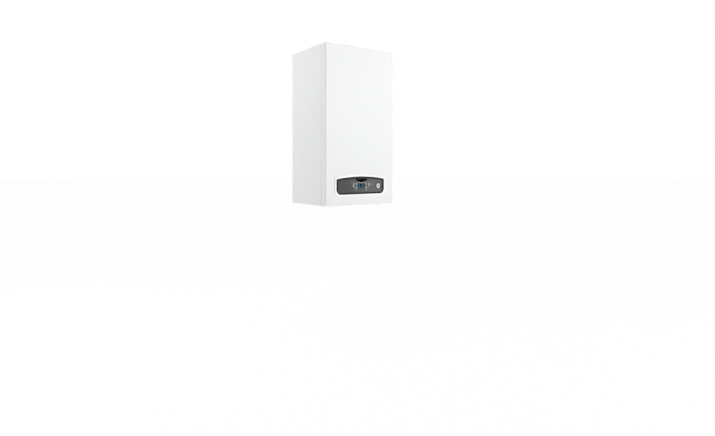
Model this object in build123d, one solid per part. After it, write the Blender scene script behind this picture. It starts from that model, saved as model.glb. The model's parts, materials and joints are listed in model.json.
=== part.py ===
from build123d import *
import os
from math import acos, cos, degrees, pi, radians, sin, sqrt

# A wall-hung condensing boiler that heats a separate hot water cylinder.
# Drawn in millimetres: x to the right, y into the wall, z up.
# The wall is the plane y = 0, the casing's foot is z = 0, and the casing is centred on x = 0.
# At the end every piece is lowered so that the origin lies midway between the hanging slots.

# Casing
case_width = 400.0
case_height = 745.0
case_depth = 310.0
skin = 1.0
chassis_sheet = 1.2
corner_radius = 8.0
fold_radius = 2.5
cover_return = 30.0
seam = 1.0
side_flange = 10.0
top_flange = 16.0
tongue_spread = 240.0
tongue_width = 30.0
tongue_reach = 16.0

# Shared clearances
seat = 0.3
running_fit = 0.05
loose_fit = 0.3
overrun = 4.0

# Back frame
frame_flange = 18.0
slot_height = 712.0
slot_spread = 240.0
slot_length = 22.0
slot_radius = 4.5
lower_hole_height = 30.0
lower_hole_radius = 4.0
bead_inset = 21.7
bead_radius = 5.0
bead_margin = 40.0

# Bottom plate and its tabs
plate_rise = 2.0
plate_front_setback = 42.0
plate_lip = 12.0
screw_spread = 240.0
screw_setback = 18.0
screw_tab_width = 26.0
screw_slot_radius = 2.6
screw_radius = 2.0
screw_head_radius = 4.0
screw_head_height = 1.8
screw_length = 9.0

# Control panel outline
panel_width = 278.0
panel_base = 50.5
panel_crown = 132.8
panel_sag = 11.8
panel_foot_radius = 16.0
panel_top_radius = 6.5
panel_gap = 0.8

# Bright surround on the cover
surround_width = 8.5
surround_proud = 2.5
surround_rounding = 1.4
lip_wall = 1.4
lip_reach = 4.0

# Control panel moulding
rim_side = 11.4
rim_base = 7.3
rim_top = 9.1
fascia_flange = 5.0
fascia_wall = 2.5
overlay_recess = 0.8
overlay_sheet = 0.5
rim_corner_radius = 5.0

# Display, keys and pressure gauge
cluster_place = 3.9
display_width = 37.6
display_height = 20.6
display_centre = 89.3
display_body_margin = 2.5
display_body_depth = 5.0
pane_sheet = 0.8
key_radius = 4.8
key_spread = 57.6
key_upper = 98.5
key_lower = 81.6
key_proud = 1.5
key_travel = 1.0
key_collar = 1.3
key_collar_sheet = 1.0
key_stem_radius = 1.5
mode_key_place = -34.5
mode_key_centre = 93.5
mode_key_radius = 12.0
mode_key_waist = 7.0
mode_key_reach = 10.5
gauge_place = 106.6
gauge_centre = 87.3
dial_radius = 12.2
gauge_neck_wall = 3.6
gauge_cup_wall = 2.0
gauge_cup_depth = 12.0
gauge_proud = 0.9
dial_depth = 3.0
needle_length = 9.4
needle_tail = 3.8
needle_width = 1.6
needle_sheet = 0.6
needle_hub_radius = 2.6
needle_post_radius = 0.8
needle_rest_angle = -135.0
gauge_stem_radius = 4.0
gauge_stem_length = 8.0

# Control box behind the panel
box_depth = 57.0
box_wall = 2.2
hinge_height = 38.0
hinge_setback = 25.0
hinge_pin_radius = 3.0
hinge_pin_length = 6.3
ear_radius = 7.0
ear_sheet = 6.0
ear_rise = 36.0
board_width = 206.0
board_left = -132.0
board_height = 68.0
board_sheet = 1.6
board_setback = 13.5
switch_side = 6.0
switch_height = 3.5
board_post_radius = 3.0
gland_radius = 6.0
gland_length = 8.0
gland_pitch = 30.0
gland_count = 3
cable_slot_width = 38.0
cable_slot_height = 14.0
cable_slot_corner = 3.0
cable_slot_rise = 24.5
cable_slot_bays = (1, 4)
box_rib = 1.5
box_rib_count = 6
transformer_size = 30.0
transformer_depth = 24.0
relay_length = 28.0
relay_pitch = 33.6
relay_count = 3
relay_height = 15.0
relay_depth = 12.0

# Combustion chamber
chamber_half = 188.0
chamber_base = 182.0
chamber_top = 728.0
chamber_back = 97.0
chamber_mouth = 272.0
chamber_rim = 12.0
chamber_ear = 30.0
seal_sheet = 3.0
chamber_cover_margin = 2.0
chamber_cover_proud = 12.0
chamber_cover_slope = 14.0
pipe_hole_gap = 3.0
thumb_screw_head = 6.0
thumb_shank_radius = 2.5
thumb_screw_spread = 250.0

# Heat exchanger, with its burner door
exchanger_centre = 525.0
exchanger_radius = 108.0
exchanger_face = 222.0
exchanger_band = 4.0
exchanger_band_width = 10.0
exchanger_dome = 22.0
furnace_radius = 64.0
furnace_depth = 96.0
sump_radius = 10.0
sump_place = 34.0
sump_setback = 200.0
sump_drop = 10.0
water_boss_radius = 14.0
water_boss_reach = 118.0
water_setback = 150.0
flow_height = 560.0
return_height = 490.0
exhaust_radius = 30.0
exhaust_wall = 1.5
exhaust_setback = 165.0
exhaust_spigot_height = 652.0
door_radius = 90.0
door_sheet = 8.0
door_rim = 12.0
door_rib = 4.0
door_rib_count = 8
door_boss_radius = 36.0
door_stud_circle = 83.0
door_stud_radius = 3.0
door_nut_width = 10.0
door_nut_height = 5.0
door_stud_count = 6
burner_radius = 34.0
burner_wall = 1.5
burner_length = 84.0
burner_band = 2.5
burner_band_count = 3
electrode_radius = 4.0
electrode_places = ((56.0, -20.0), (58.0, 8.0), (40.0, -44.0))
electrode_proud = 22.0
electrode_tip_radius = 1.2
electrode_tip = 60.0

# Fan, mixer, duct and gas valve
fan_place = -62.0
fan_centre = 256.0
fan_back = 156.0
fan_depth = 52.0
fan_wall = 2.5
volute_start = 50.0
volute_growth = 16.0
volute_marks = 8
fan_outlet_height = 328.0
fan_eye_radius = 24.0
impeller_radius = 42.0
impeller_width = 26.0
impeller_gap = 6.0
impeller_plate = 2.0
impeller_hub_radius = 9.0
blade_count = 16
blade_sheet = 1.6
blade_root_radius = 22.0
blade_bow = 4.0
shaft_radius = 3.0
motor_radius = 40.0
motor_length = 44.0
motor_flange_radius = 46.0
motor_flange_sheet = 4.0
motor_cap_radius = 26.0
motor_cap_step = 6.0
duct_width = 44.0
duct_depth = 28.0
duct_corner = 6.0
duct_setback = 250.5
duct_bend = 13.0
duct_rise = 14.0
mixer_radius = 22.0
mixer_wall = 2.5
mixer_setback = 127.0
mixer_foot = 212.0
mixer_port_radius = 9.0
mixer_port_share = 0.75
silencer_radius = 26.0
silencer_foot = 190.0
silencer_overlap = 16.0
silencer_rib = 1.2
silencer_rib_count = 4
valve_place = 84.0
valve_setback = 136.0
valve_width = 52.0
valve_body_depth = 44.0
valve_height = 70.0
coil_radius = 15.0
coil_height = 24.0
valve_throttle_radius = 8.0
gas_pipe_radius = 9.0
gas_pipe_bend = 24.0
gas_pipe_knee = 138.0
gas_pipe_rise = 24.0
gas_inlet_height = 212.0
gas_nut_width = 30.0
gas_nut_height = 14.0
transformer_width = 60.0
spark_unit_height = 44.0
spark_unit_depth = 30.0
spark_unit_place = 128.0
spark_unit_base = 400.0

# Flue
collar_radius = 66.0
collar_height = 29.0
collar_flange = 4.0
collar_rounding = 3.0
air_radius = 50.0
collar_skirt_wall = 2.0
exhaust_socket_radius = 30.2
exhaust_top = 24.0
exhaust_socket_depth = 45.0
test_port_spread = 24.0
test_port_radius = 5.0
test_port_rise = 15.0
test_cap_sheet = 3.0
test_cap_plug = 8.0

# Expansion vessel
vessel_width = 316.0
vessel_base = 300.0
vessel_top = 700.0
vessel_front = 88.0
vessel_corner = 60.0
vessel_bulge = 14.0
vessel_seam = 5.0
vessel_seam_sheet = 6.0
vessel_nipple_place = 84.0
vessel_nipple_radius = 9.0
vessel_nipple_drop = 16.0
hose_radius = 7.0
hose_bend = 21.0
hose_fall = 48.0
hose_knee_drop = 96.0

# Pipe connections
pitch = 65.0
connection_setback = 120.0
heating_thread = 13.2
water_thread = 10.48
tail_wall = 3.0
tail_drop = 9.0
tail_thread = 10.0
tail_shoulder = 1.2
tail_top = 24.0
tail_nut_height = 9.0
tail_nut_gap = 4.0
water_pipe_radius = 11.0
water_pipe_bend = 30.0
riser_place = 162.0
riser_foot = 114.0

# Flow block, with the diverter valve
block_radius = 17.0
block_height = 66.0
block_end = 172.0
block_inner_end = 40.0
riser_socket_radius = 15.0
diverter_cup_radius = 20.0
diverter_cup_top = 92.0
diverter_bore = 14.0
diverter_floor = 52.0
spindle_radius = 3.0
spindle_disc_radius = 9.0
spindle_disc_sheet = 4.0
spindle_top = 112.0
spindle_travel = 8.0
diverter_motor_radius = 21.0
diverter_motor_height = 46.0
diverter_recess = 4.0
diverter_plug_reach = 27.3
relief_place = -108.0
relief_reach = 34.0
relief_boss_reach = 8.5
relief_radius = 11.0
relief_bonnet_radius = 14.0
relief_bonnet = 16.0
relief_outlet_radius = 7.5
relief_wall = 1.5
relief_drop = 8.0
relief_stem_radius = 3.0
relief_stem = 8.0
relief_knob_radius = 17.0
relief_knob_length = 15.0
relief_knob_lobes = 6
relief_knob_flute = 5.0
relief_knob_ring = 15.5

# Pump and return block
pump_place = 112.0
pump_centre = 84.0
pump_back = 98.0
pump_radius = 38.0
pump_wall = 4.0
pump_depth = 42.0
pump_flange = 8.0
pump_rotor_radius = 26.0
pump_rotor_width = 9.0
pump_rotor_gap = 5.0
pump_shaft_radius = 4.0
pump_shaft_length = 40.0
pump_motor_radius = 42.0
pump_motor_length = 82.0
pump_vane_count = 6
pump_vane_sheet = 2.0
pump_plug_radius = 12.0
pump_plug_sheet = 3.0
pump_box_width = 56.0
pump_box_height = 22.0
pump_box_depth = 56.0
return_arm_radius = 13.5
vent_radius = 15.0
vent_place = 128.0
vent_height = 36.0
vent_neck_radius = 5.0
vent_neck = 6.0
vent_cap_radius = 7.0
vent_cap_height = 9.0
drain_reach = 26.0
drain_radius = 8.0
drain_height = 40.0
drain_knob_radius = 11.0
drain_knob_length = 12.0
drain_stem_radius = 3.0
drain_stem = 6.0
drain_tail_radius = 5.0

# Condensate trap
trap_place = 34.0
trap_setback = 200.0
trap_radius = 22.0
trap_wall = 2.0
trap_top = 140.0
trap_flange = 8.0
trap_flange_sheet = 3.0
trap_neck_radius = 17.0
trap_neck_drop = 1.0
trap_cup_radius = 20.5
trap_cup_depth = 10.0
trap_cup_wall = 2.0
trap_outlet_radius = 10.7
trap_outlet_place = -4.0
trap_outlet_drop = 8.0
trap_outlet_height = 60.0
outlet_step = 0.5
trap_spigot_radius = 9.0
trap_spigot = 12.0
waste_hose_radius = 11.5

# Places worked out from the sizes above
half = case_width / 2
inner_half = half - skin - seat
front = -case_depth
side_front = front + cover_return + seam
plate_top = plate_rise + chassis_sheet
plate_front = front + plate_front_setback
case_top = case_height
field_face = front + overlay_recess
overlay_face = field_face - overlay_sheet
field_rear = field_face + fascia_wall
fascia_front = front + lip_reach + seat
fascia_rear = fascia_front + fascia_wall
box_rear = fascia_rear + box_depth
hinge_y = front + hinge_setback
panel_half = panel_width / 2
arch_radius = (panel_half ** 2 + panel_sag ** 2) / (2 * panel_sag)
box_half = panel_half + fascia_flange
board_front = field_rear + board_setback
tail_foot = -tail_drop
exchanger_back = chamber_back + skin + seat
duct_x = fan_place + volute_start + volute_growth - duct_width / 2
volute_tongue_angle = degrees(acos((volute_start + volute_growth - duct_width) / volute_start))
hinge_ear_offset = seat + ear_sheet - box_wall
chamber_cover_half = chamber_half - chamber_cover_margin
connections = [
    (-2 * pitch, heating_thread),
    (-pitch, water_thread),
    (0, heating_thread),
    (pitch, water_thread),
    (2 * pitch, heating_thread),
]
relief_outlet_y = -connection_setback - block_radius - relief_reach / 2
plate_openings = [
    (trap_place, trap_setback, trap_cup_radius),
    (trap_outlet_place, trap_setback, trap_outlet_radius + outlet_step),
    (relief_place, -relief_outlet_y, relief_outlet_radius + outlet_step),
]


def block(x, y, z):
    """A plain block between pairs of limits along x, y and z."""
    size = [abs(b - a) for a, b in (x, y, z)]
    middle = [(a + b) / 2 for a, b in (x, y, z)]
    return Pos(*middle) * Box(*size)


def rod(foot, direction, radius, length):
    """A round bar that starts at foot."""
    return Plane(origin=foot, z_dir=direction) * extrude(Circle(radius), length)


def turned(foot, direction, outline):
    """Turns an outline of (radius, height) pairs about a line through foot."""
    half_section = Plane.XZ * make_face(Polyline(*outline, close=True))
    return Plane(origin=foot, z_dir=direction) * revolve(half_section, Axis.Z)


def hexagon(foot, direction, width, height):
    """A hexagonal nut blank, measured across its flats."""
    flat = RegularPolygon(width / 2, 6, major_radius=False)
    return Plane(origin=foot, z_dir=direction) * extrude(flat, height)


def tube(points, bend, radius, bore=0):
    """A round pipe along straight runs joined by bends."""
    path = FilletPolyline(*points, radius=bend)
    section = Circle(radius)
    if bore:
        section -= Circle(bore)
    return sweep(Plane(origin=path @ 0, z_dir=path % 0) * section, path=path)


def upright(y):
    """The vertical plane at y, seen from the front."""
    return Plane((0, y, 0), x_dir=(1, 0, 0), z_dir=(0, -1, 0))


def forward(sketch, start, end):
    """Extrudes an upright sketch from depth start to depth end."""
    near = max(start, end)
    return extrude(upright(near) * sketch, abs(end - start))


def mirrored_pair(solid):
    return solid + mirror(solid, Plane.YZ)


def folded(corners, thickness, length, side):
    """A sheet folded along a line of corners, standing on its foot."""
    line = FilletPolyline(*corners, radius=fold_radius)
    sheet = make_brake_formed(thickness, length, line, side=side)
    return Pos(0, 0, -sheet.bounding_box().min.Z) * sheet


def arch(side=0, base=0, top=0, foot_radius=panel_foot_radius, top_radius=panel_top_radius):
    """The control panel's outline, drawn in by side, base and top, or widened where they are negative."""
    edge = panel_half - side
    foot = panel_base + base
    crown = panel_crown - top
    radius = arch_radius - top
    shoulder = crown - radius + sqrt(radius ** 2 - edge ** 2)
    outline = [
        Line((-edge, foot), (edge, foot)),
        Line((edge, foot), (edge, shoulder)),
        ThreePointArc((edge, shoulder), (0, crown), (-edge, shoulder)),
        Line((-edge, shoulder), (-edge, foot)),
    ]
    face = make_face(outline)
    corners = face.vertices().sort_by(Axis.Y)
    face = fillet(corners[:2], foot_radius)
    corners = face.vertices().filter_by(lambda v: v.Y > (foot + crown) / 2)
    return fillet(corners, top_radius)


def grown_arch(grow):
    """The panel's outline with the same margin all round."""
    return arch(-grow, -grow, -grow, panel_foot_radius + grow, panel_top_radius + grow)


def pan(edge, foot, head, face, rear, corner, fold):
    """A solid with rounded upright front edges and folded front edges at its head and foot."""
    plan = Pos(0, (face + rear) / 2) * Rectangle(2 * edge, rear - face)
    plan = fillet(plan.vertices().group_by(Axis.Y)[0], corner)
    profile = Pos((face + rear) / 2, (foot + head) / 2) * Rectangle(rear - face, head - foot)
    profile = fillet(profile.vertices().group_by(Axis.X)[0], fold)
    upward = extrude(Pos(0, 0, foot) * plan, head - foot)
    across = Pos(-edge, 0, 0) * extrude(Plane.YZ * profile, 2 * edge)
    return upward & across


# Casing pieces

def make_back_frame():
    """Galvanised back plate with side flanges, hanging slots, lower fixing holes and stiffening beads."""
    foot = plate_top + seat
    head = case_top - skin - seat
    corners = [(-inner_half, -frame_flange), (-inner_half, 0), (inner_half, 0), (inner_half, -frame_flange)]
    frame = Pos(0, 0, foot) * folded(corners, chassis_sheet, head - foot, Side.RIGHT)
    bead_foot = foot + bead_margin
    bead_length = head - foot - 2 * bead_margin
    bead_place = inner_half - bead_inset
    bead = rod((bead_place, 0, bead_foot), (0, 0, 1), bead_radius, bead_length)
    bead -= rod((bead_place, 0, bead_foot), (0, 0, 1), bead_radius - chassis_sheet, bead_length)
    bead &= block((0, half), (-bead_radius, -chassis_sheet / 2), (0, case_top))
    frame += mirrored_pair(bead)
    slot = forward(SlotOverall(slot_length, 2 * slot_radius), overrun, -overrun)
    frame -= mirrored_pair(Pos(slot_spread / 2, 0, slot_height) * slot)
    hole = rod((slot_spread / 2, overrun, lower_hole_height), (0, -1, 0), lower_hole_radius, 2 * overrun)
    return frame - mirrored_pair(hole)


def make_side_panel():
    """Painted right side, folded inwards at its front and foot."""
    corners = [(half, 0), (half, side_front), (half - side_flange, side_front)]
    panel = folded(corners, skin, case_top - skin - running_fit, Side.RIGHT)
    return panel + block((half - side_flange, half - skin / 2),
        (side_front + 2 * side_flange, -side_flange), (0, skin))


def make_top_panel():
    """Painted top with the flue hole, a front flange and the two tongues that carry the cover."""
    corners = [(0, case_top), (side_front, case_top), (side_front, case_top - top_flange)]
    panel = Plane.YZ.offset(-half) * folded(corners, skin, 2 * half, Side.LEFT)
    notch_x = half - side_flange - seat
    notch = block((notch_x, half + overrun), (side_front - overrun, side_front + fold_radius),
        (0, case_top - skin))
    panel -= mirrored_pair(notch)
    tongue_top = case_top - skin - seat
    tongue = block(
        (tongue_spread / 2 - tongue_width / 2, tongue_spread / 2 + tongue_width / 2),
        (side_front + skin / 2, side_front - tongue_reach), (tongue_top - chassis_sheet, tongue_top))
    panel += mirrored_pair(tongue)
    flue_hole = rod((0, -exhaust_setback, case_top - top_flange), (0, 0, 1), air_radius + 2 * seat,
        2 * top_flange)
    return panel - flue_hole


def make_front_cover():
    """The lift-off front: a shallow folded pan with the control panel's cut-out."""
    rear = front + cover_return
    outside = pan(half, 0, case_height, front, rear, corner_radius, fold_radius)
    inside = pan(
        half - skin, skin, case_height - skin, front + skin, rear + overrun,
        corner_radius - skin, fold_radius - skin)
    cover = outside - inside
    cover -= forward(grown_arch(panel_gap + lip_wall + seat), front + overrun, front - overrun)
    hole = rod((screw_spread / 2, front + screw_setback, -overrun), (0, 0, 1),
        screw_radius + running_fit, 2 * overrun)
    return cover - mirrored_pair(hole)


def make_cover_screws():
    """Two captive screws under the cover's foot."""
    shank_top = screw_length - screw_head_height
    screw = rod((screw_spread / 2, front + screw_setback, -screw_head_height), (0, 0, 1),
                screw_head_radius, screw_head_height)
    screw += rod((screw_spread / 2, front + screw_setback, 0), (0, 0, 1), screw_radius, shank_top)
    return mirrored_pair(screw)


def make_panel_surround():
    """The bright ring round the control panel, with a lip that passes through the cover."""
    crest = forward(grown_arch(panel_gap + surround_width), front, front - surround_proud)
    crest = fillet(crest.faces().sort_by(Axis.Y)[0].edges(), surround_rounding)
    lip = forward(grown_arch(panel_gap + lip_wall), front + lip_reach, front)
    ring = crest + lip
    return ring - forward(grown_arch(panel_gap), front + 2 * lip_reach, front - 2 * lip_reach)


def make_bottom_plate():
    """Galvanised plate that carries the pipework, with tabs for the cover screws and the box hinge."""
    rear = -chassis_sheet - seat
    plate = block((-inner_half, inner_half), (plate_front, rear), (plate_rise, plate_top))
    lip_half = inner_half - fold_radius
    plate += block((-lip_half, lip_half), (rear, rear - chassis_sheet), (plate_rise, plate_top + plate_lip))
    tab = block(
        (screw_spread / 2 - screw_tab_width / 2, screw_spread / 2 + screw_tab_width / 2),
        (plate_front, front + screw_setback - 2 * screw_head_radius), (plate_rise, plate_top))
    slot = SlotOverall(4 * screw_head_radius, 2 * screw_slot_radius, rotation=90)
    slot = Pos(screw_spread / 2, front + screw_setback + screw_slot_radius - 2 * screw_head_radius,
        0) * slot
    tab -= extrude(slot, plate_top + overrun)
    ear_x = box_half + hinge_ear_offset
    arm = block((ear_x, ear_x + 2 * ear_radius), (plate_front, hinge_y - ear_radius),
        (plate_rise, plate_top))
    ear_side = Pos(hinge_y, (plate_rise + hinge_height) / 2) * Rectangle(2 * ear_radius,
        hinge_height - plate_rise)
    ear_side += Pos(hinge_y, hinge_height) * Circle(ear_radius)
    ear = Pos(ear_x, 0, 0) * extrude(Plane.YZ * ear_side, chassis_sheet)
    pin = rod((ear_x, hinge_y, hinge_height), (-1, 0, 0), hinge_pin_radius, hinge_pin_length)
    plate += mirrored_pair(tab + arm + ear + pin)
    for place, thread in connections:
        plate -= rod((place, -connection_setback, 0), (0, 0, 1), thread + tail_shoulder + seat,
            plate_top + overrun)
    for place, depth, radius in plate_openings:
        plate -= rod((place, -depth, 0), (0, 0, 1), radius + seat, plate_top + overrun)
    return plate


# Control panel pieces

def key_places():
    """The four round keys, left and right of the display."""
    columns = (("left", cluster_place - key_spread / 2), ("right", cluster_place + key_spread / 2))
    rows = (("upper", key_upper), ("lower", key_lower))
    return {f"{row}_{column}_key": (x, z) for column, x in columns for row, z in rows}


def mode_key_outline(grow):
    """A crescent that is open to the right, with blunt ends."""
    outer = Pos(mode_key_place, mode_key_centre) * Circle(mode_key_radius + grow)
    inner = Pos(mode_key_place + mode_key_waist, mode_key_centre) * Circle(mode_key_radius - grow)
    left = mode_key_place - mode_key_radius
    window = Pos(left + mode_key_reach / 2, mode_key_centre) * Rectangle(
        mode_key_reach + 2 * grow, 2 * (mode_key_radius + grow))
    return (outer - inner) & window


def panel_openings(grow):
    """Sketches of the panel's openings for the display, the keys and the gauge."""
    holes = Pos(cluster_place, display_centre) * Rectangle(display_width + 2 * grow,
        display_height + 2 * grow)
    for place in key_places().values():
        holes += Pos(*place) * Circle(key_radius + grow)
    holes += mode_key_outline(grow)
    return holes + Pos(gauge_place, gauge_centre) * Circle(dial_radius + gauge_neck_wall + grow)


def make_fascia():
    """The dark moulding: a rim that fills the surround, a sunken field, and a flange behind the cover."""
    flange = forward(grown_arch(fascia_flange), fascia_rear, fascia_front)
    island = forward(arch(), fascia_rear, front)
    solid = flange + island
    solid -= forward(arch(rim_side, rim_base, rim_top, rim_corner_radius, rim_corner_radius),
        field_face, front - overrun)
    solid -= forward(
        arch(fascia_wall, fascia_wall, fascia_wall, panel_foot_radius - fascia_wall,
            panel_top_radius - fascia_wall),
        fascia_rear + overrun, field_rear)
    return solid - forward(panel_openings(loose_fit), fascia_rear + overrun, front - overrun)


def make_fascia_overlay():
    """The grey facing sheet in the field."""
    sheet = arch(
        rim_side + seat / 2, rim_base + seat / 2, rim_top + seat / 2,
        rim_corner_radius - seat / 2, rim_corner_radius - seat / 2)
    return forward(sheet - panel_openings(loose_fit), field_face, overlay_face)


def make_round_key(place):
    """A push key: cap, retaining collar behind the field, and a stem that meets its switch."""
    x, z = place
    cap_front = overlay_face - key_proud
    collar_front = field_rear + seat
    switch_face = board_front - switch_height
    stem_end = switch_face - key_travel - running_fit
    outline = [
        (0, 0), (key_stem_radius, 0), (key_stem_radius, stem_end - collar_front - key_collar_sheet),
        (key_radius + key_collar, stem_end - collar_front - key_collar_sheet),
        (key_radius + key_collar, stem_end - collar_front), (key_radius, stem_end - collar_front),
        (key_radius, stem_end - cap_front - key_stem_radius / 2),
        (key_radius - key_stem_radius / 2, stem_end - cap_front), (0, stem_end - cap_front),
    ]
    return turned((x, stem_end, z), (0, -1, 0), outline)


def make_mode_key():
    """The crescent key at the left of the display."""
    cap_front = overlay_face - key_proud
    collar_front = field_rear + seat
    switch_face = board_front - switch_height
    stem_end = switch_face - key_travel - running_fit
    key = forward(mode_key_outline(0), collar_front, cap_front)
    key += forward(mode_key_outline(key_collar / 2), collar_front + key_collar_sheet, collar_front)
    stem_x = mode_key_place - mode_key_radius + mode_key_waist / 2
    return key + rod((stem_x, collar_front, mode_key_centre), (0, 1, 0), key_stem_radius,
        stem_end - collar_front)


def make_display():
    """The display module, whose glass front fills the window from behind."""
    body_front = field_rear + seat
    glass_front = overlay_face + pane_sheet + seat
    place = Pos(cluster_place, display_centre)
    module = forward(
        place * Rectangle(display_width + 2 * display_body_margin, display_height + display_body_margin),
        body_front + display_body_depth, body_front)
    return module + forward(place * Rectangle(display_width, display_height), body_front, glass_front)


def make_clear_windows():
    """The display's pane and the gauge's lens."""
    pane = forward(
        Pos(cluster_place, display_centre) * Rectangle(display_width, display_height),
        overlay_face + pane_sheet, overlay_face)
    lens_front = overlay_face - gauge_proud + pane_sheet / 2
    lens = rod((gauge_place, lens_front + pane_sheet, gauge_centre), (0, -1, 0),
        dial_radius - running_fit, pane_sheet)
    return pane + lens


def make_gauge_body():
    """The pressure gauge's cup, neck, dial, pivot post and capillary stem."""
    rim = overlay_face - gauge_proud
    neck = dial_radius + gauge_neck_wall
    cup = neck + gauge_cup_wall
    cup_front = field_rear + seat
    cup_rear = cup_front + gauge_cup_depth
    dial_face = overlay_face + dial_depth
    post_front = dial_face - dial_depth + pane_sheet + seat
    outline = [
        (0, 0), (cup, 0), (cup, cup_rear - cup_front), (neck, cup_rear - cup_front), (neck, cup_rear - rim),
        (dial_radius, cup_rear - rim), (dial_radius, cup_rear - dial_face),
        (needle_post_radius, cup_rear - dial_face), (needle_post_radius, cup_rear - post_front),
        (0, cup_rear - post_front),
    ]
    body = turned((gauge_place, cup_rear, gauge_centre), (0, -1, 0), outline)
    return body + rod((gauge_place, cup_rear, gauge_centre), (0, 1, 0), gauge_stem_radius,
        gauge_stem_length)


def make_gauge_needle():
    """The gauge's pointer on its post."""
    rear = overlay_face + dial_depth - seat
    blade = Polyline(
        (-needle_width / 2, -needle_tail), (needle_width / 2, -needle_tail),
        (needle_width / 2, 0), (0, needle_length), (-needle_width / 2, 0), close=True)
    outline = make_face(blade) + Circle(needle_hub_radius) - Circle(needle_post_radius + running_fit)
    turned_outline = Pos(gauge_place, gauge_centre) * Rot(0, 0, -needle_rest_angle) * outline
    return forward(turned_outline, rear, rear - needle_sheet)


def make_control_box():
    """The box behind the panel: a shell with hinge ears and cable glands, and a ribbed rear lid."""
    front_edge = fascia_rear + running_fit
    radii = (panel_foot_radius + fascia_flange, panel_top_radius + fascia_flange)
    outside = arch(-fascia_flange, -fascia_flange, -fascia_flange, *radii)
    lid_front = box_rear - box_wall
    lid = forward(outside, box_rear, lid_front)
    shell = forward(outside, lid_front, front_edge)
    inset = box_wall - fascia_flange
    hollow = arch(inset, inset, inset, radii[0] - box_wall, radii[1] - box_wall)
    shell -= forward(hollow, lid_front, front_edge - overrun)
    ear_side = Pos(hinge_y, hinge_height + ear_rise / 2) * Rectangle(2 * ear_radius, ear_rise)
    ear_side += Pos(hinge_y, hinge_height) * Circle(ear_radius)
    ear_side -= Pos(hinge_y, hinge_height) * Circle(hinge_pin_radius + running_fit)
    ear = Pos(box_half - box_wall, 0, 0) * extrude(Plane.YZ * ear_side, ear_sheet)
    shell += mirrored_pair(ear)
    span = 2 * (box_half - panel_foot_radius)
    for n in range(box_rib_count):
        x = -span / 2 + span * n / (box_rib_count - 1)
        lid += block(
            (x - box_rib / 2, x + box_rib / 2), (box_rear - box_rib / 2, box_rear + box_rib),
            (panel_base + panel_foot_radius, panel_crown - 2 * panel_sag))
    for bay in cable_slot_bays:
        x = -span / 2 + span * (bay + 1 / 2) / (box_rib_count - 1)
        slot = Pos(x, panel_base - fascia_flange + cable_slot_rise) * RectangleRounded(
            cable_slot_width, cable_slot_height, cable_slot_corner)
        lid -= forward(slot, box_rear + overrun, lid_front - overrun)
    for n in range(gland_count):
        x = board_left + gland_pitch * (n + 1)
        y = box_rear - 2 * gland_radius
        shell += rod((x, y, panel_base - fascia_flange + box_wall), (0, 0, -1), gland_radius, gland_length)
        shell -= rod((x, y, panel_base), (0, 0, -1), gland_radius / 2, 2 * gland_length)
    for x in (board_left + 2 * board_post_radius, board_left + board_width - 2 * board_post_radius):
        for z in board_post_heights():
            lid += rod((x, board_front + board_sheet + seat, z), (0, 1, 0), board_post_radius,
                       box_rear - box_wall / 2 - board_front - board_sheet - seat)
    return Compound([shell.solid(), lid.solid()])


def board_foot():
    return panel_base + 2 * fascia_wall


def board_post_heights():
    return (board_foot() + 2 * board_post_radius, board_foot() + board_height - 2 * board_post_radius)


def make_circuit_board():
    """The control board, with its key switches, transformer, relays and connectors."""
    rear = board_front + board_sheet
    foot = board_foot()
    board = block((board_left, board_left + board_width), (board_front, rear), (foot, foot + board_height))
    stem_x = mode_key_place - mode_key_radius + mode_key_waist / 2
    for x, z in [*key_places().values(), (stem_x, mode_key_centre)]:
        board += block(
            (x - switch_side / 2, x + switch_side / 2), (board_front, board_front - switch_height),
            (z - switch_side / 2, z + switch_side / 2))
    part_base = foot + 2 * relay_depth
    x = board_left + 4 * board_post_radius
    board += block((x, x + transformer_size), (rear, rear + transformer_depth),
        (part_base, part_base + transformer_size))
    for n in range(relay_count):
        x = board_left + transformer_size + (n + 1) * relay_pitch
        board += block((x, x + relay_length), (rear, rear + relay_height),
            (part_base, part_base + relay_depth))
        board += block((x, x + relay_length), (rear, rear + relay_depth),
            (foot + board_sheet, foot + relay_depth))
    display_rear = field_rear + seat + display_body_depth + seat
    board += block(
        (cluster_place - display_width / 2, cluster_place + display_width / 2), (board_front, display_rear),
        (display_centre - display_height / 4, display_centre + display_height / 4))
    return board


# Combustion chamber pieces

def make_chamber_body():
    """The sealed air box, open to the front: five sheets with a rim for the seal, and ears at its sides."""
    rear = -chamber_back - skin
    mouth = -chamber_mouth
    inner = chamber_half - skin
    rim_half = chamber_half - chamber_rim
    back = block((-chamber_half, chamber_half), (rear, rear + skin), (chamber_base, chamber_top))
    side = block((inner, chamber_half), (mouth, rear), (chamber_base, chamber_top))
    side += block((rim_half, inner), (mouth, mouth + skin), (chamber_base + skin, chamber_top - skin))
    for z in (chamber_base + chamber_ear, chamber_top - 2 * chamber_ear):
        side += block((chamber_half - skin / 2, inner_half), (mouth + skin, mouth + 2 * skin),
            (z, z + chamber_ear))
    floor = block((-inner, inner), (mouth, rear), (chamber_base, chamber_base + skin))
    floor += block((-rim_half, rim_half), (mouth, mouth + skin),
        (chamber_base + skin, chamber_base + chamber_rim))
    for x, y, radius in chamber_pipe_holes():
        floor -= rod((x, y, chamber_base - overrun), (0, 0, 1), radius + pipe_hole_gap, 2 * overrun)
    roof = block((-inner, inner), (mouth, rear), (chamber_top - skin, chamber_top))
    roof += block((-rim_half, rim_half), (mouth, mouth + skin),
        (chamber_top - chamber_rim, chamber_top - skin))
    roof -= rod((0, -exhaust_setback, chamber_top - chamber_rim), (0, 0, 1), air_radius + 2 * seat,
        2 * chamber_rim)
    return Compound([back.solid(), side.solid(), mirror(side, Plane.YZ).solid(), floor.solid(), roof.solid()])


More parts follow.
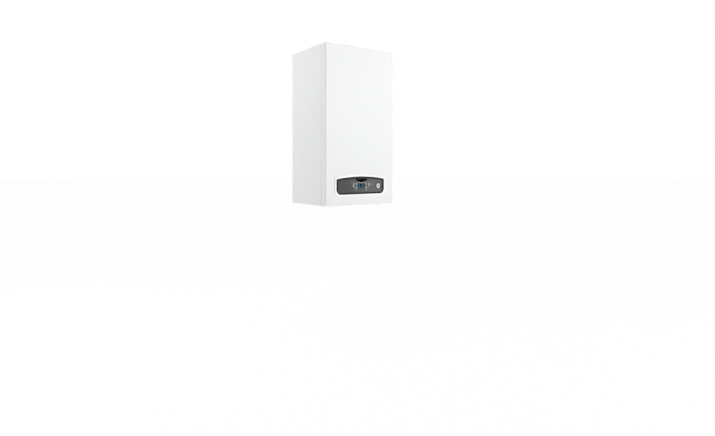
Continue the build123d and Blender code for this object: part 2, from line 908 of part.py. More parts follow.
def chamber_pipe_holes():
    """Where the flow, return, gas and waste pipes pass the chamber's floor."""
    return (
        (-riser_place, -water_setback, water_pipe_radius),
        (riser_place, -water_setback, water_pipe_radius),
        (valve_place, -valve_setback, gas_pipe_radius),
        (sump_place, -sump_setback, waste_hose_radius),
    )


def make_chamber_seal():
    """The soft strip between the chamber and its cover."""
    rear = -chamber_mouth - running_fit
    inset = chamber_cover_margin + seat
    outer = forward(
        Pos(0, (chamber_base + chamber_top) / 2) * Rectangle(
            2 * (chamber_half - inset), chamber_top - chamber_base - 2 * inset),
        rear, rear - seal_sheet)
    return outer - block(
        (-chamber_half + chamber_rim, chamber_half - chamber_rim), (rear + overrun, rear - 2 * overrun),
        (chamber_base + chamber_rim, chamber_top - chamber_rim))


def make_chamber_cover():
    """The chamber's pressed cover: a flat rim and a raised panel with sloping sides."""
    rear = -chamber_mouth - seal_sheet - 2 * running_fit - seat
    middle = (chamber_base + chamber_top) / 2
    height = chamber_top - chamber_base - 2 * chamber_cover_margin
    width = 2 * chamber_cover_half
    step = 2 * (chamber_rim + chamber_cover_margin)
    rise = chamber_cover_proud

    def pressed(grow):
        """The raised panel, made larger by grow."""
        foot = Pos(0, middle) * RectangleRounded(width - step + 2 * grow, height - step + 2 * grow,
            chamber_cover_slope)
        crest = Pos(0, middle) * RectangleRounded(
            width - step - chamber_cover_slope + 2 * grow, height - step - chamber_cover_slope + 2 * grow,
            chamber_cover_slope / 2)
        return foot, crest

    foot, crest = pressed(0)
    raised = loft([upright(rear) * foot, upright(rear - rise) * crest], ruled=True)
    foot, crest = pressed(-skin)
    hollow = loft([upright(rear + skin) * foot, upright(rear - rise + skin) * crest], ruled=True)
    rim = forward(Pos(0, middle) * Rectangle(width, height), rear, rear - skin)
    cover = rim + raised - hollow
    for x, z in thumb_screw_places():
        cover -= rod((x, rear + overrun, z), (0, -1, 0), thumb_shank_radius + running_fit, 2 * overrun)
    return cover


def thumb_screw_places():
    """Screws at the corners of the chamber cover's rim."""
    inset = chamber_rim / 2
    return [
        (x, z) for x in (-thumb_screw_spread / 2, thumb_screw_spread / 2)
        for z in (chamber_base + inset + chamber_cover_margin, chamber_top - inset - chamber_cover_margin)
    ]


def make_chamber_screws():
    """Quarter-turn screws that hold the chamber cover."""
    rim_face = -chamber_mouth - seal_sheet - 2 * running_fit - seat - skin
    screws = Part()
    for x, z in thumb_screw_places():
        screws += rod((x, rim_face, z), (0, -1, 0), chamber_rim / 2, thumb_screw_head)
        screws += rod((x, rim_face, z), (0, 1, 0), thumb_shank_radius, skin + seat)
    return screws


# Heat exchanger and burner

def make_heat_exchanger():
    """Welded stainless drum: back shell, two half shells round the furnace, and the flue spigot."""
    foot = (0, -exchanger_back, exchanger_centre)
    length = exchanger_face - exchanger_back
    radius = exchanger_radius
    band = exchanger_band
    outline = [
        (0, 0), (radius - exchanger_dome, 0), (radius - band, exchanger_dome),
        (radius, exchanger_dome), (radius, exchanger_dome + exchanger_band_width),
        (radius - band, exchanger_dome + exchanger_band_width), (radius - band,
            length - exchanger_band_width),
        (radius, length - exchanger_band_width), (radius, length), (furnace_radius, length),
        (furnace_radius, length - furnace_depth), (0, length - furnace_depth),
    ]
    drum = turned(foot, (0, -1, 0), outline)
    drum += rod((0, -exhaust_setback, exchanger_centre + furnace_radius + band), (0, 0, 1),
                exhaust_radius, radius - furnace_radius - band)
    sump_foot = exchanger_centre - radius - sump_drop
    drum += rod((sump_place, -sump_setback, sump_foot), (0, 0, 1), sump_radius, radius / 2)
    for side, height in ((-1, flow_height), (1, return_height)):
        start = (side * radius / 2, -water_setback, height)
        drum += rod(start, (side, 0, 0), water_boss_radius, water_boss_reach - radius / 2)
    fore = (-exchanger_face - overrun, -exchanger_face + furnace_depth)
    fore_space = block((-half, half), fore, (0, case_top))
    drum -= rod(foot, (0, -1, 0), furnace_radius, length + overrun) & fore_space
    back = drum & block((-half, half), (fore[1], 0), (0, case_top))
    shells = [drum & block(span, fore, (0, case_top)) for span in ((-half, 0), (0, half))]
    spigot_foot = (0, -exhaust_setback, exchanger_centre + radius)
    spigot_length = exhaust_spigot_height - exchanger_centre - radius
    spigot = rod(spigot_foot, (0, 0, 1), exhaust_radius, spigot_length)
    spigot -= rod(spigot_foot, (0, 0, 1), exhaust_radius - exhaust_wall, spigot_length)
    return Compound([piece.solid() for piece in (back, *shells, spigot)])


def make_burner_door():
    """Cast door with a thick rim, spokes and a hollow boss that takes the mixture duct."""
    rear = -exchanger_face - seat
    outline = [
        (burner_radius + running_fit, 0), (door_radius, 0), (door_radius,
            door_rim), (door_radius - door_rim, door_rim),
        (door_radius - door_rim - door_rib, door_sheet), (door_boss_radius + door_rib, door_sheet),
        (door_boss_radius, door_rim), (burner_radius + running_fit, door_rim),
    ]
    door = turned((0, rear, exchanger_centre), (0, -1, 0), outline)
    for n in range(door_rib_count):
        angle = 360 * n / door_rib_count
        rib = block(
            (door_boss_radius - door_rib / 2, door_radius - door_rib),
            (rear - door_sheet + door_rib / 2, rear - door_rim + door_rib / 4),
            (-door_rib / 2, door_rib / 2))
        door += Pos(0, 0, exchanger_centre) * Rot(0, angle, 0) * rib
    for x, z in electrode_places:
        door -= rod((x, rear + overrun, exchanger_centre + z), (0, -1, 0),
            electrode_radius + running_fit, 4 * door_rim)
    return door


def make_door_nuts():
    """Flanged nuts on their studs round the burner door."""
    face = -exchanger_face - seat - door_rim - running_fit
    nuts = Part()
    for n in range(door_stud_count):
        angle = pi * (2 * n + 1) / door_stud_count
        x = door_stud_circle * sin(angle)
        z = exchanger_centre + door_stud_circle * cos(angle)
        nuts += hexagon((x, face, z), (0, -1, 0), door_nut_width, door_nut_height)
        nuts += rod((x, face - door_nut_height / 2, z), (0, -1, 0), door_stud_radius, door_nut_height)
    return nuts


def make_burner():
    """The cylindrical burner: an open flanged tube with swaged bands and a closed end."""
    mouth = -exchanger_face - seat - door_sheet
    outline = [(burner_radius - burner_band, 0), (burner_radius, 0)]
    for n in range(burner_band_count):
        start = burner_length * (n + 1) / (burner_band_count + 1)
        outline += [
            (burner_radius, start), (burner_radius - burner_band / 2, start + burner_band),
            (burner_radius, start + 2 * burner_band),
        ]
    outline += [
        (burner_radius, burner_length), (0, burner_length), (0, burner_length - burner_wall),
        (burner_radius - burner_band, burner_length - burner_wall),
    ]
    return turned((0, mouth, exchanger_centre), (0, 1, 0), outline)


def make_electrodes():
    """Two spark electrodes and the flame probe in their ceramic sleeves."""
    start = -exchanger_face - seat - door_rim - electrode_proud
    pieces_of_set = Part()
    for x, z in electrode_places:
        foot = (x, start, exchanger_centre + z)
        sleeve = electrode_proud + 2 * door_rim
        pieces_of_set += turned(foot, (0, 1, 0), [
            (0, 0), (electrode_tip_radius, 0), (electrode_tip_radius, electrode_radius),
            (electrode_radius, 2 * electrode_radius), (electrode_radius, sleeve),
            (electrode_tip_radius, sleeve), (electrode_tip_radius, sleeve + electrode_tip), (0,
                sleeve + electrode_tip)])
    return pieces_of_set


# Fan, duct, mixer and gas valve

def volute_outline(inset):
    """The fan housing's growing spiral and its upward outlet, drawn in by inset."""
    def spiral(angle):
        share = (angle - volute_tongue_angle) / (360 - volute_tongue_angle)
        radius = volute_start + volute_growth * share - inset
        return radius * cos(radians(angle)), radius * sin(radians(angle))

    turn = 360 - volute_tongue_angle
    marks = [spiral(volute_tongue_angle + turn * n / volute_marks) for n in range(volute_marks + 1)]
    outlet_top = fan_outlet_height - fan_centre
    outer_x, outer_z = marks[-1]
    inner_x = outer_x - duct_width + 2 * inset
    tongue_x, tongue_z = marks[0]
    edges = [ThreePointArc(marks[n], marks[n + 1], marks[n + 2]) for n in range(0, volute_marks, 2)]
    edges.append(Line((outer_x, outer_z), (outer_x, outlet_top)))
    edges.append(Line((outer_x, outlet_top), (inner_x, outlet_top)))
    edges.append(Line((inner_x, outlet_top), (inner_x, tongue_z)))
    if inset:
        edges.append(Line((inner_x, tongue_z), (tongue_x, tongue_z)))
    return Pos(fan_place, fan_centre) * make_face(edges)


def make_fan_housing():
    """The spiral housing with its inlet eye, motor opening and outlet flange."""
    back = -fan_back
    face = back - fan_depth
    housing = forward(volute_outline(0), back, face)
    flange = block(
        (duct_x - duct_width / 2 - duct_corner, duct_x + duct_width / 2 + duct_corner), (back, face),
        (fan_outlet_height - 2 * fan_wall, fan_outlet_height))
    housing += flange
    housing -= forward(volute_outline(fan_wall), back - fan_wall, face + fan_wall)
    housing -= block(
        (duct_x - duct_width / 2 + fan_wall, duct_x + duct_width / 2 - fan_wall), (back - fan_wall,
            face + fan_wall),
        (fan_outlet_height - 4 * fan_wall, fan_outlet_height + overrun))
    centre = (fan_place, back + overrun, fan_centre)
    housing -= rod(centre, (0, -1, 0), fan_eye_radius, 2 * overrun)
    front_centre = (fan_place, face + overrun, fan_centre)
    return housing - rod(front_centre, (0, -1, 0), fan_eye_radius, 2 * overrun)


def make_fan_impeller():
    """The fan wheel: back plate, curved blades, shroud ring and shaft."""
    plate_y = -fan_back - fan_depth + fan_wall + impeller_gap
    outline = [
        (0, 0), (impeller_radius, 0), (impeller_radius, impeller_plate), (impeller_hub_radius,
            impeller_plate),
        (impeller_hub_radius, impeller_width / 2), (0, impeller_width / 2),
    ]
    centre = (fan_place, plate_y, fan_centre)
    wheel = turned(centre, (0, 1, 0), outline)
    middle = (blade_root_radius + impeller_radius) / 2
    blade_line = ThreePointArc((blade_root_radius, 0), (middle, blade_bow),
        (impeller_radius - blade_sheet, 0))
    blade = extrude(trace(blade_line, line_width=blade_sheet), impeller_width - impeller_plate)
    blades = Part()
    for n in range(blade_count):
        blades += Rot(0, 0, 360 * n / blade_count) * blade
    shroud_foot = impeller_width - 2 * impeller_plate
    blades += extrude(Pos(0, 0, shroud_foot) * (Circle(impeller_radius) - Circle(blade_root_radius)),
        impeller_plate)
    wheel += Plane(origin=(fan_place, plate_y + impeller_plate, fan_centre), z_dir=(0, 1, 0)) * blades
    shaft_length = impeller_gap + fan_wall + motor_flange_sheet + motor_length / 2
    return wheel + rod((fan_place, plate_y, fan_centre), (0, -1, 0), shaft_radius, shaft_length)


def make_fan_motor():
    """The fan's motor can, with a mounting flange that closes the housing and a stepped cap."""
    face = -fan_back - fan_depth - running_fit
    outline = [
        (0, motor_length + motor_flange_sheet), (motor_cap_radius,
            motor_length + motor_flange_sheet), (motor_cap_radius, motor_length),
        (motor_radius, motor_length - motor_cap_step), (motor_radius, motor_flange_sheet),
        (motor_flange_radius, motor_flange_sheet), (motor_flange_radius, 0),
        (shaft_radius + running_fit, 0), (shaft_radius + running_fit,
            motor_length / 2 + 2 * motor_flange_sheet),
        (0, motor_length / 2 + 2 * motor_flange_sheet),
    ]
    return turned((fan_place, face, fan_centre), (0, -1, 0), outline)


def make_mixture_duct():
    """The duct that carries the air and gas mixture forwards and up to the burner door."""
    outlet_y = -fan_back - fan_depth / 2
    foot = fan_outlet_height + running_fit
    turn = foot + duct_rise
    rise = duct_setback + outlet_y
    top = exchanger_centre + door_boss_radius - duct_corner
    path = FilletPolyline(
        (duct_x, outlet_y, foot), (duct_x, outlet_y, turn), (duct_x / 2, -duct_setback, turn + rise),
        (0, -duct_setback, top), radius=duct_bend)
    section = RectangleRounded(duct_width, duct_depth, duct_corner)
    plane = Plane(origin=path @ 0, x_dir=(1, 0, 0), z_dir=path % 0)
    duct = sweep(plane * section, path=path, is_frenet=False)
    flange_edge = duct_width / 2 + duct_corner
    duct += block(
        (duct_x - flange_edge, duct_x + flange_edge), (outlet_y - fan_depth / 2, outlet_y + fan_depth / 2),
        (foot, foot + 2 * fan_wall))
    mouth_rear = -exchanger_face - seat - door_rim - running_fit
    duct += rod((0, mouth_rear, exchanger_centre), (0, -1, 0), door_boss_radius,
        duct_setback - abs(mouth_rear))
    duct -= rod((0, mouth_rear + overrun, exchanger_centre), (0, -1, 0), burner_radius - burner_band,
                overrun + duct_setback - abs(mouth_rear))
    duct -= block(
        (duct_x - duct_width / 2 + fan_wall, duct_x + duct_width / 2 - fan_wall),
        (outlet_y - duct_depth / 2 + fan_wall, outlet_y + duct_depth / 2 - fan_wall),
        (foot - overrun, foot + duct_rise / 2))
    return duct


def make_gas_air_mixer():
    """The elbow on the fan's inlet, with the gas port at its side."""
    start = (fan_place, -fan_back + running_fit, fan_centre)
    turn = (fan_place, -mixer_setback, fan_centre)
    end = (fan_place, -mixer_setback, mixer_foot)
    mixer = tube([start, turn, end], mixer_radius + mixer_wall, mixer_radius, mixer_radius - mixer_wall)
    port_end = valve_place - valve_width / 2 - running_fit
    port_start = fan_place + mixer_radius - mixer_wall / 2
    height = fan_centre - mixer_radius * mixer_port_share
    return mixer + rod((port_start, -mixer_setback, height), (1, 0, 0), mixer_port_radius,
        port_end - port_start)


def make_air_silencer():
    """The ribbed intake tube round the mixer's foot."""
    outline = [(mixer_radius + running_fit, mixer_foot + silencer_overlap),
        (mixer_radius + running_fit, silencer_foot)]
    outline += [(silencer_radius, silencer_foot)]
    step = (mixer_foot + silencer_overlap - silencer_foot) / (2 * silencer_rib_count + 1)
    for n in range(silencer_rib_count):
        start = silencer_foot + step * (2 * n + 1)
        outline += [(silencer_radius, start), (silencer_radius - silencer_rib, start),
                    (silencer_radius - silencer_rib, start + step), (silencer_radius, start + step)]
    outline += [(silencer_radius, mixer_foot + silencer_overlap)]
    return turned((fan_place, -mixer_setback, 0), (0, 0, 1), outline)


def make_gas_valve():
    """The gas valve: cast body, two coils in front, inlet boss below and the throttle cap."""
    x = (valve_place - valve_width / 2, valve_place + valve_width / 2)
    y = (-valve_setback - valve_body_depth / 2, -valve_setback + valve_body_depth / 2)
    z = (gas_inlet_height + gas_nut_height, gas_inlet_height + gas_nut_height + valve_height)
    valve = chamfer(block(x, y, z).edges().filter_by(Axis.Y), valve_throttle_radius / 2)
    for row in (-1, 1):
        height = (z[0] + z[1]) / 2 + row * (coil_radius + seat)
        valve += turned((valve_place, y[0], height), (0, -1, 0), [
            (0, 0), (coil_radius, 0), (coil_radius, coil_height - fan_wall),
            (coil_radius / 2, coil_height), (0, coil_height)])
    valve += rod((valve_place, -valve_setback, z[1]), (0, 0, 1), valve_throttle_radius,
        valve_throttle_radius)
    return valve + hexagon((valve_place, -valve_setback, gas_inlet_height), (0, 0, 1), gas_nut_width,
        gas_nut_height)


def make_gas_pipe():
    """The gas pipe from its connection up to the valve."""
    start = (0, -connection_setback, tail_top)
    knee = (0, -connection_setback, gas_pipe_knee)
    upper = (valve_place, -valve_setback, gas_pipe_knee + gas_pipe_rise)
    end = (valve_place, -valve_setback, gas_inlet_height - running_fit)
    return tube([start, knee, upper, end], gas_pipe_bend, gas_pipe_radius)


def make_spark_unit():
    """The ignition transformer on the chamber's back wall."""
    rear = -chamber_back - skin - seat
    x = (spark_unit_place - transformer_width / 2, spark_unit_place + transformer_width / 2)
    z = (spark_unit_base, spark_unit_base + spark_unit_height)
    unit = block(x, (rear, rear - spark_unit_depth), z)
    unit = chamfer(unit.edges().filter_by(Axis.Z), door_rib)
    for n in (-1, 1):
        unit += rod((spark_unit_place + n * transformer_width / 4, rear - spark_unit_depth / 2, z[0]),
            (0, 0, -1),
                    electrode_radius, door_rim)
    return unit


# Flue

def make_flue_pipe():
    """The inner exhaust pipe from the heat exchanger's spigot to the collar."""
    foot = exchanger_centre + exchanger_radius + exchanger_band
    head = case_top + exhaust_top
    lower = exhaust_spigot_height + seat
    upper = head - exhaust_socket_depth
    socket = exhaust_socket_radius
    bore = socket - exhaust_wall
    outline = [
        (socket, foot), (socket + exhaust_wall, foot), (socket + exhaust_wall, lower), (socket,
            lower + exhaust_wall),
        (socket, upper - exhaust_wall), (socket + exhaust_wall, upper), (socket + exhaust_wall,
            head), (socket, head),
        (socket, upper), (bore, upper), (bore, lower), (socket, lower),
    ]
    return turned((0, -exhaust_setback, 0), (0, 0, 1), outline)


def make_flue_collar():
    """The round flue adaptor: flange, air wall with two test ports, and a skirt down to the chamber."""
    skirt_foot = chamber_top - skin
    skirt = air_radius
    wall = collar_skirt_wall
    foot = case_top + running_fit
    head = foot + collar_height
    socket = air_radius + seat
    outline = [
        (skirt - wall, skirt_foot), (skirt, skirt_foot), (skirt, foot), (collar_radius, foot),
        (collar_radius, head - collar_rounding), (collar_radius - collar_rounding, head), (socket, head),
        (socket, foot + collar_flange), (skirt - wall, foot + collar_flange),
    ]
    collar = turned((0, -exhaust_setback, 0), (0, 0, 1), outline)
    for side in (-1, 1):
        start = (side * test_port_spread / 2, -exhaust_setback - skirt, foot + test_port_rise)
        collar -= rod(start, (0, -1, 0), test_port_radius + loose_fit, collar_radius)
    return collar


def make_test_cap():
    """The twin plug that closes the flue's test ports."""
    face = -exhaust_setback - collar_radius - seat
    height = case_top + running_fit + test_port_rise
    bar = SlotOverall(test_port_spread + 3 * test_port_radius, 3 * test_port_radius)
    cap = forward(Pos(0, height) * bar, face, face - test_cap_sheet)
    for side in (-1, 1):
        cap += rod((side * test_port_spread / 2, face, height), (0, 1, 0), test_port_radius, test_cap_plug)
    return cap


# Expansion vessel

def make_expansion_vessel():
    """The flat expansion vessel: two pressed halves, a seam, and a nipple below."""
    rear = -chassis_sheet - seat
    middle_y = (rear - vessel_front) / 2
    middle_z = (vessel_base + vessel_top) / 2
    height = vessel_top - vessel_base
    outline = Pos(0, middle_z) * RectangleRounded(vessel_width, height, vessel_corner)
    inner = Pos(0, middle_z) * RectangleRounded(
        vessel_width - 2 * vessel_bulge, height - 2 * vessel_bulge, vessel_corner - vessel_bulge)
    vessel = forward(outline, rear - vessel_bulge, -vessel_front + vessel_bulge)
    vessel += loft([upright(rear) * inner, upright(rear - vessel_bulge) * outline], ruled=True)
    vessel += loft([upright(-vessel_front + vessel_bulge) * outline, upright(-vessel_front) * inner],
        ruled=True)
    seam_line = Pos(0, middle_z) * RectangleRounded(
        vessel_width + 2 * vessel_seam, height + 2 * vessel_seam, vessel_corner + vessel_seam)
    vessel += forward(seam_line, middle_y + vessel_seam_sheet / 2, middle_y - vessel_seam_sheet / 2)
    nipple_top = (vessel_nipple_place, middle_y, vessel_base + vessel_bulge)
    return vessel + rod(nipple_top, (0, 0, -1), vessel_nipple_radius, vessel_bulge + vessel_nipple_drop)


def make_vessel_hose():
    """The hose from the expansion vessel to the return block."""
    middle_y = (-chassis_sheet - seat - vessel_front) / 2
    start = (vessel_nipple_place, middle_y, vessel_base - vessel_nipple_drop - running_fit)
    end_z = pump_centre + pump_flange
    lower = (pump_place, middle_y, end_z)
    end = (pump_place, -pump_back + running_fit, end_z)
    knee_top = (vessel_nipple_place, middle_y, vessel_base - hose_fall)
    knee = (pump_place, middle_y, vessel_base - hose_knee_drop)
    return tube([start, knee_top, knee, lower, end], hose_bend, hose_radius)


# Water side

def make_pipe_tails():
    """The five threaded connections under the plate, with their nuts on top of it."""
    tails = Part()
    for place, thread in connections:
        foot = (place, -connection_setback, tail_foot)
        tail = rod(foot, (0, 0, 1), thread, tail_thread)
        shoulder_foot = (place, -connection_setback, tail_foot + tail_thread)
        tail += rod(shoulder_foot, (0, 0, 1), thread + tail_shoulder,
            tail_top - shoulder_foot[2] - running_fit)
        nut_foot = (place, -connection_setback, plate_top + seat)
        tail += hexagon(nut_foot, (0, 0, 1), 2 * (thread + tail_nut_gap), tail_nut_height)
        tails += tail - rod(foot, (0, 0, 1), thread - tail_wall, tail_drop + plate_top)
    return tails


def make_water_pipe(side, boss_height):
    """A copper riser from the heat exchanger down through the chamber's floor to its block."""
    boss = (side * (water_boss_reach + running_fit), -water_setback, boss_height)
    knee = (side * riser_place, -water_setback, boss_height)
    floor = (side * riser_place, -water_setback, chamber_base)
    offset = (side * riser_place, -connection_setback, chamber_base - water_pipe_bend - water_pipe_radius)
    foot = (side * riser_place, -connection_setback, riser_foot)
    bends = [water_pipe_bend, water_pipe_bend / 2, water_pipe_bend / 2]
    return tube([boss, knee, floor, offset, foot], bends, water_pipe_radius)


def make_flow_block():
    """The brass flow block: a cross pipe over two connections, riser socket, diverter cup and relief boss."""
    y = -connection_setback
    body = rod((-block_end, y, block_height), (1, 0, 0), block_radius, block_end - block_inner_end)
    for place, thread in connections[:2]:
        body += rod((place, y, tail_top), (0, 0, 1), thread, block_height - tail_top)
    body += rod((-riser_place, y, block_height), (0, 0, 1), riser_socket_radius,
        riser_foot - block_height - running_fit)
    cup = (-pitch, y, diverter_floor - spindle_disc_sheet)
    body += rod(cup, (0, 0, 1), diverter_cup_radius, diverter_cup_top - cup[2])
    body -= rod((-pitch, y, diverter_floor), (0, 0, 1), diverter_bore,
        diverter_cup_top - diverter_floor - fan_wall * 2)
    body -= rod((-pitch, y, diverter_floor), (0, 0, 1), spindle_radius + running_fit, diverter_cup_top)
    return body + rod((relief_place, y, block_height), (0, -1, 0), relief_radius,
        block_radius + relief_boss_reach)


def make_diverter_spindle():
    """The diverter valve's rod and disc."""
    y = -connection_setback
    disc_foot = diverter_floor + seat
    spindle = rod((-pitch, y, disc_foot), (0, 0, 1), spindle_disc_radius, spindle_disc_sheet)
    return spindle + rod((-pitch, y, disc_foot), (0, 0, 1), spindle_radius,
        spindle_top - spindle_travel - disc_foot)


def make_diverter_motor():
    """The actuator clipped on top of the diverter cup."""
    foot = diverter_cup_top + running_fit
    head = foot + diverter_motor_height
    radius = diverter_motor_radius
    outline = [
        (spindle_radius + loose_fit, foot), (radius, foot), (radius, head - diverter_recess),
        (radius - diverter_recess, head), (0, head), (0, spindle_top + seat),
        (spindle_radius + loose_fit, spindle_top + seat),
    ]
    motor = turned((-pitch, -connection_setback, 0), (0, 0, 1), outline)
    plug = block(
        (-pitch - radius / 2, -pitch + radius / 2), (-connection_setback - radius / 2,
            -connection_setback - diverter_plug_reach),
        (head - radius, head - diverter_recess * 2))
    return motor + plug


def make_safety_valve():
    """The pressure relief valve, with its bonnet and downward discharge."""
    y = -connection_setback - block_radius - relief_boss_reach - running_fit
    body_length = relief_reach - relief_boss_reach
    body = rod((relief_place, y, block_height), (0, -1, 0), relief_radius, body_length)
    body += hexagon((relief_place, y - body_length, block_height), (0, -1, 0), 2 * relief_bonnet_radius,
        relief_bonnet)
    body += rod((relief_place, y - body_length - relief_bonnet, block_height), (0, -1, 0),
        relief_stem_radius,
                relief_stem + relief_knob_length / 2)
    outlet_top = (relief_place, relief_outlet_y, block_height)
    outlet_foot = (relief_place, relief_outlet_y, -relief_drop)
    body += rod(outlet_top, (0, 0, -1), relief_outlet_radius + outlet_step,
        block_height - plate_rise + skin)
    body += rod(outlet_foot, (0, 0, 1), relief_outlet_radius, relief_drop + plate_rise)
    return body - rod(outlet_foot, (0, 0, 1), relief_outlet_radius - relief_wall, block_height / 2)


def relief_knob_face():
    return -connection_setback - block_radius - relief_reach - running_fit - relief_bonnet - relief_stem / 2


def make_relief_knob():
    """The relief valve's fluted knob."""
    outline = Circle(relief_knob_radius)
    for n in range(relief_knob_lobes):
        angle = 2 * pi * n / relief_knob_lobes
        ring = relief_knob_ring + relief_knob_flute / 2
        outline -= Pos(ring * cos(angle), ring * sin(angle)) * Circle(relief_knob_flute / 2)
    face = relief_knob_face()
    knob = forward(Pos(relief_place, block_height) * outline, face, face - relief_knob_length)
    knob = chamfer(knob.faces().sort_by(Axis.Y)[0].outer_wire().edges(), relief_knob_flute / 4)
    return knob - rod((relief_place, face + overrun, block_height), (0, -1, 0),
        relief_stem_radius + running_fit,
                      overrun + relief_stem / 2 + relief_knob_length / 2 + seat)


def make_pump_body():
    """The composite return block: pump volute, inlet and cylinder arms, riser socket and vent boss."""
    face = -pump_back - pump_depth
    back = -pump_back
    body = rod((pump_place, back, pump_centre), (0, -1, 0), pump_radius, pump_depth)
    body += rod((pump_place, face + pump_flange, pump_centre), (0, -1, 0), pump_radius + pump_wall,
        pump_flange)
    y = -connection_setback
    for place, thread in connections[3:]:
        body += rod((place, y, tail_top), (0, 0, 1), thread, block_height - tail_top)
    arm_start = pitch - return_arm_radius
    body += rod((arm_start, y, block_height), (1, 0, 0), return_arm_radius, pump_place - arm_start)
    body += rod((riser_place, y, riser_foot - running_fit), (0, 0, -1), riser_socket_radius,
                riser_foot - pump_centre + riser_socket_radius)
    body += rod((pump_place, y, pump_centre), (1, 0, 0), return_arm_radius, riser_place - pump_place)
    body += rod((vent_place, y, pump_centre), (0, 0, 1), vent_radius, pump_radius + pump_wall)
    body += rod((pitch, y, drain_height), (0, -1, 0), drain_radius, water_thread + drain_reach)
    body += rod((pitch, y - water_thread - drain_reach, drain_height), (0, -1, 0), drain_stem_radius,
                drain_stem + drain_knob_length / 2)
    body += rod((pitch, y - water_thread - drain_reach / 2, drain_height), (0, 0, -1), drain_tail_radius,
                drain_height - plate_top - seat)
    cavity = pump_radius - pump_wall
    return body - rod((pump_place, back - pump_wall, pump_centre), (0, -1, 0), cavity, pump_depth)


def make_pump_motor():
    """The pump head: finned can, front plug and terminal box."""
    face = -pump_back - pump_depth - running_fit
    nose = pump_motor_length
    radius = pump_motor_radius
    outline = [
        (pump_shaft_radius + running_fit, 0), (pump_radius, 0), (pump_radius, pump_flange), (radius,
            2 * pump_flange),
        (radius, nose - pump_flange), (radius - pump_flange, nose), (pump_plug_radius, nose),
        (pump_plug_radius, nose + pump_plug_sheet), (0, nose + pump_plug_sheet),
        (0, pump_shaft_length + running_fit), (pump_shaft_radius + running_fit,
            pump_shaft_length + running_fit),
    ]
    motor = turned((pump_place, face, pump_centre), (0, -1, 0), outline)
    box_foot = pump_centre + radius - pump_flange / 2
    return motor + block(
        (pump_place - pump_box_width / 2 + pump_box_height,
            pump_place + pump_box_width / 2 + pump_box_height),
        (face - 2 * pump_flange, face - 2 * pump_flange - pump_box_depth), (box_foot,
            box_foot + pump_box_height))


def make_pump_rotor():
    """The pump's impeller and shaft."""
    face = -pump_back - pump_depth
    rear = face + pump_rotor_gap
    rotor = rod((pump_place, rear, pump_centre), (0, 1, 0), pump_rotor_radius, pump_vane_sheet)
    vanes = Part()
    for n in range(pump_vane_count):
        vane = block(
            (pump_shaft_radius, pump_rotor_radius - pump_vane_sheet), (-pump_vane_sheet / 2,
                pump_vane_sheet / 2),
            (0, pump_rotor_width))
        vanes += Rot(0, 0, 360 * n / pump_vane_count) * vane
    vanes += extrude(Circle(2 * pump_shaft_radius), pump_rotor_width)
    rotor += Plane(origin=(pump_place, rear, pump_centre), z_dir=(0, 1, 0)) * vanes
    shaft = pump_shaft_length + pump_rotor_gap - 2 * seat
    return rotor + rod((pump_place, rear, pump_centre), (0, -1, 0), pump_shaft_radius, shaft)


def make_air_vent():
    """The automatic air vent on the return block."""
    foot = pump_centre + pump_radius + pump_wall + running_fit
    outline = [
        (0, foot), (vent_radius, foot), (vent_radius, foot + vent_height - vent_neck),
        (vent_neck_radius, foot + vent_height), (vent_neck_radius, foot + vent_height + vent_neck),
        (0, foot + vent_height + vent_neck),
    ]
    return turned((vent_place, -connection_setback, 0), (0, 0, 1), outline)


def make_vent_cap():
    """The small screw cap on the air vent."""
    foot = pump_centre + pump_radius + pump_wall + vent_height + 2 * seat
    neck = vent_neck_radius + running_fit
    outline = [
        (neck, foot), (vent_cap_radius, foot), (vent_cap_radius, foot + vent_cap_height), (0,
            foot + vent_cap_height),
        (0, foot + vent_neck + seat), (neck, foot + vent_neck + seat),
    ]
    return turned((vent_place, -connection_setback, 0), (0, 0, 1), outline)


def make_drain_knob():
    """The drain valve's winged knob."""
    face = -connection_setback - water_thread - drain_reach - drain_stem / 2
    outline = Circle(drain_knob_radius / 2) + Rectangle(2 * drain_knob_radius, drain_knob_radius / 2)
    knob = forward(Pos(pitch, drain_height) * outline, face, face - drain_knob_length)
    return knob - rod((pitch, face + overrun, drain_height), (0, -1, 0), drain_stem_radius + running_fit,
                      overrun + drain_stem / 2 + drain_knob_length / 2 + seat)


# Condensate trap

def make_condensate_trap():
    """The trap's body on the plate, with its inlet spigot above and its outlet beside it."""
    flange_foot = plate_top + seat
    outline = [
        (0, trap_top + trap_spigot), (trap_spigot_radius, trap_top + trap_spigot),
        (trap_spigot_radius, trap_top), (trap_radius, trap_top - trap_flange), (trap_radius,
            flange_foot + trap_flange_sheet),
        (trap_radius + trap_flange, flange_foot + trap_flange_sheet), (trap_radius + trap_flange,
            flange_foot),
        (trap_neck_radius, flange_foot), (trap_neck_radius,
            -trap_neck_drop), (trap_neck_radius - trap_wall, -trap_neck_drop),
        (trap_neck_radius - trap_wall, trap_top - 2 * trap_flange), (0, trap_top - trap_flange - trap_wall),
    ]
    trap = turned((trap_place, -trap_setback, 0), (0, 0, 1), outline)
    elbow_start = (trap_place - trap_radius + trap_wall, -trap_setback, trap_outlet_height)
    elbow_turn = (trap_outlet_place, -trap_setback, trap_outlet_height)
    elbow_end = (trap_outlet_place, -trap_setback, plate_rise - skin)
    outer = trap_outlet_radius + outlet_step
    outlet = tube([elbow_start, elbow_turn, elbow_end], outer + trap_wall, outer)
    foot = (trap_outlet_place, -trap_setback, -trap_outlet_drop)
    outlet += rod(foot, (0, 0, 1), trap_outlet_radius, trap_outlet_drop + plate_rise)
    return trap + outlet - rod(foot, (0, 0, 1), trap_outlet_radius - trap_wall, trap_outlet_height / 2)


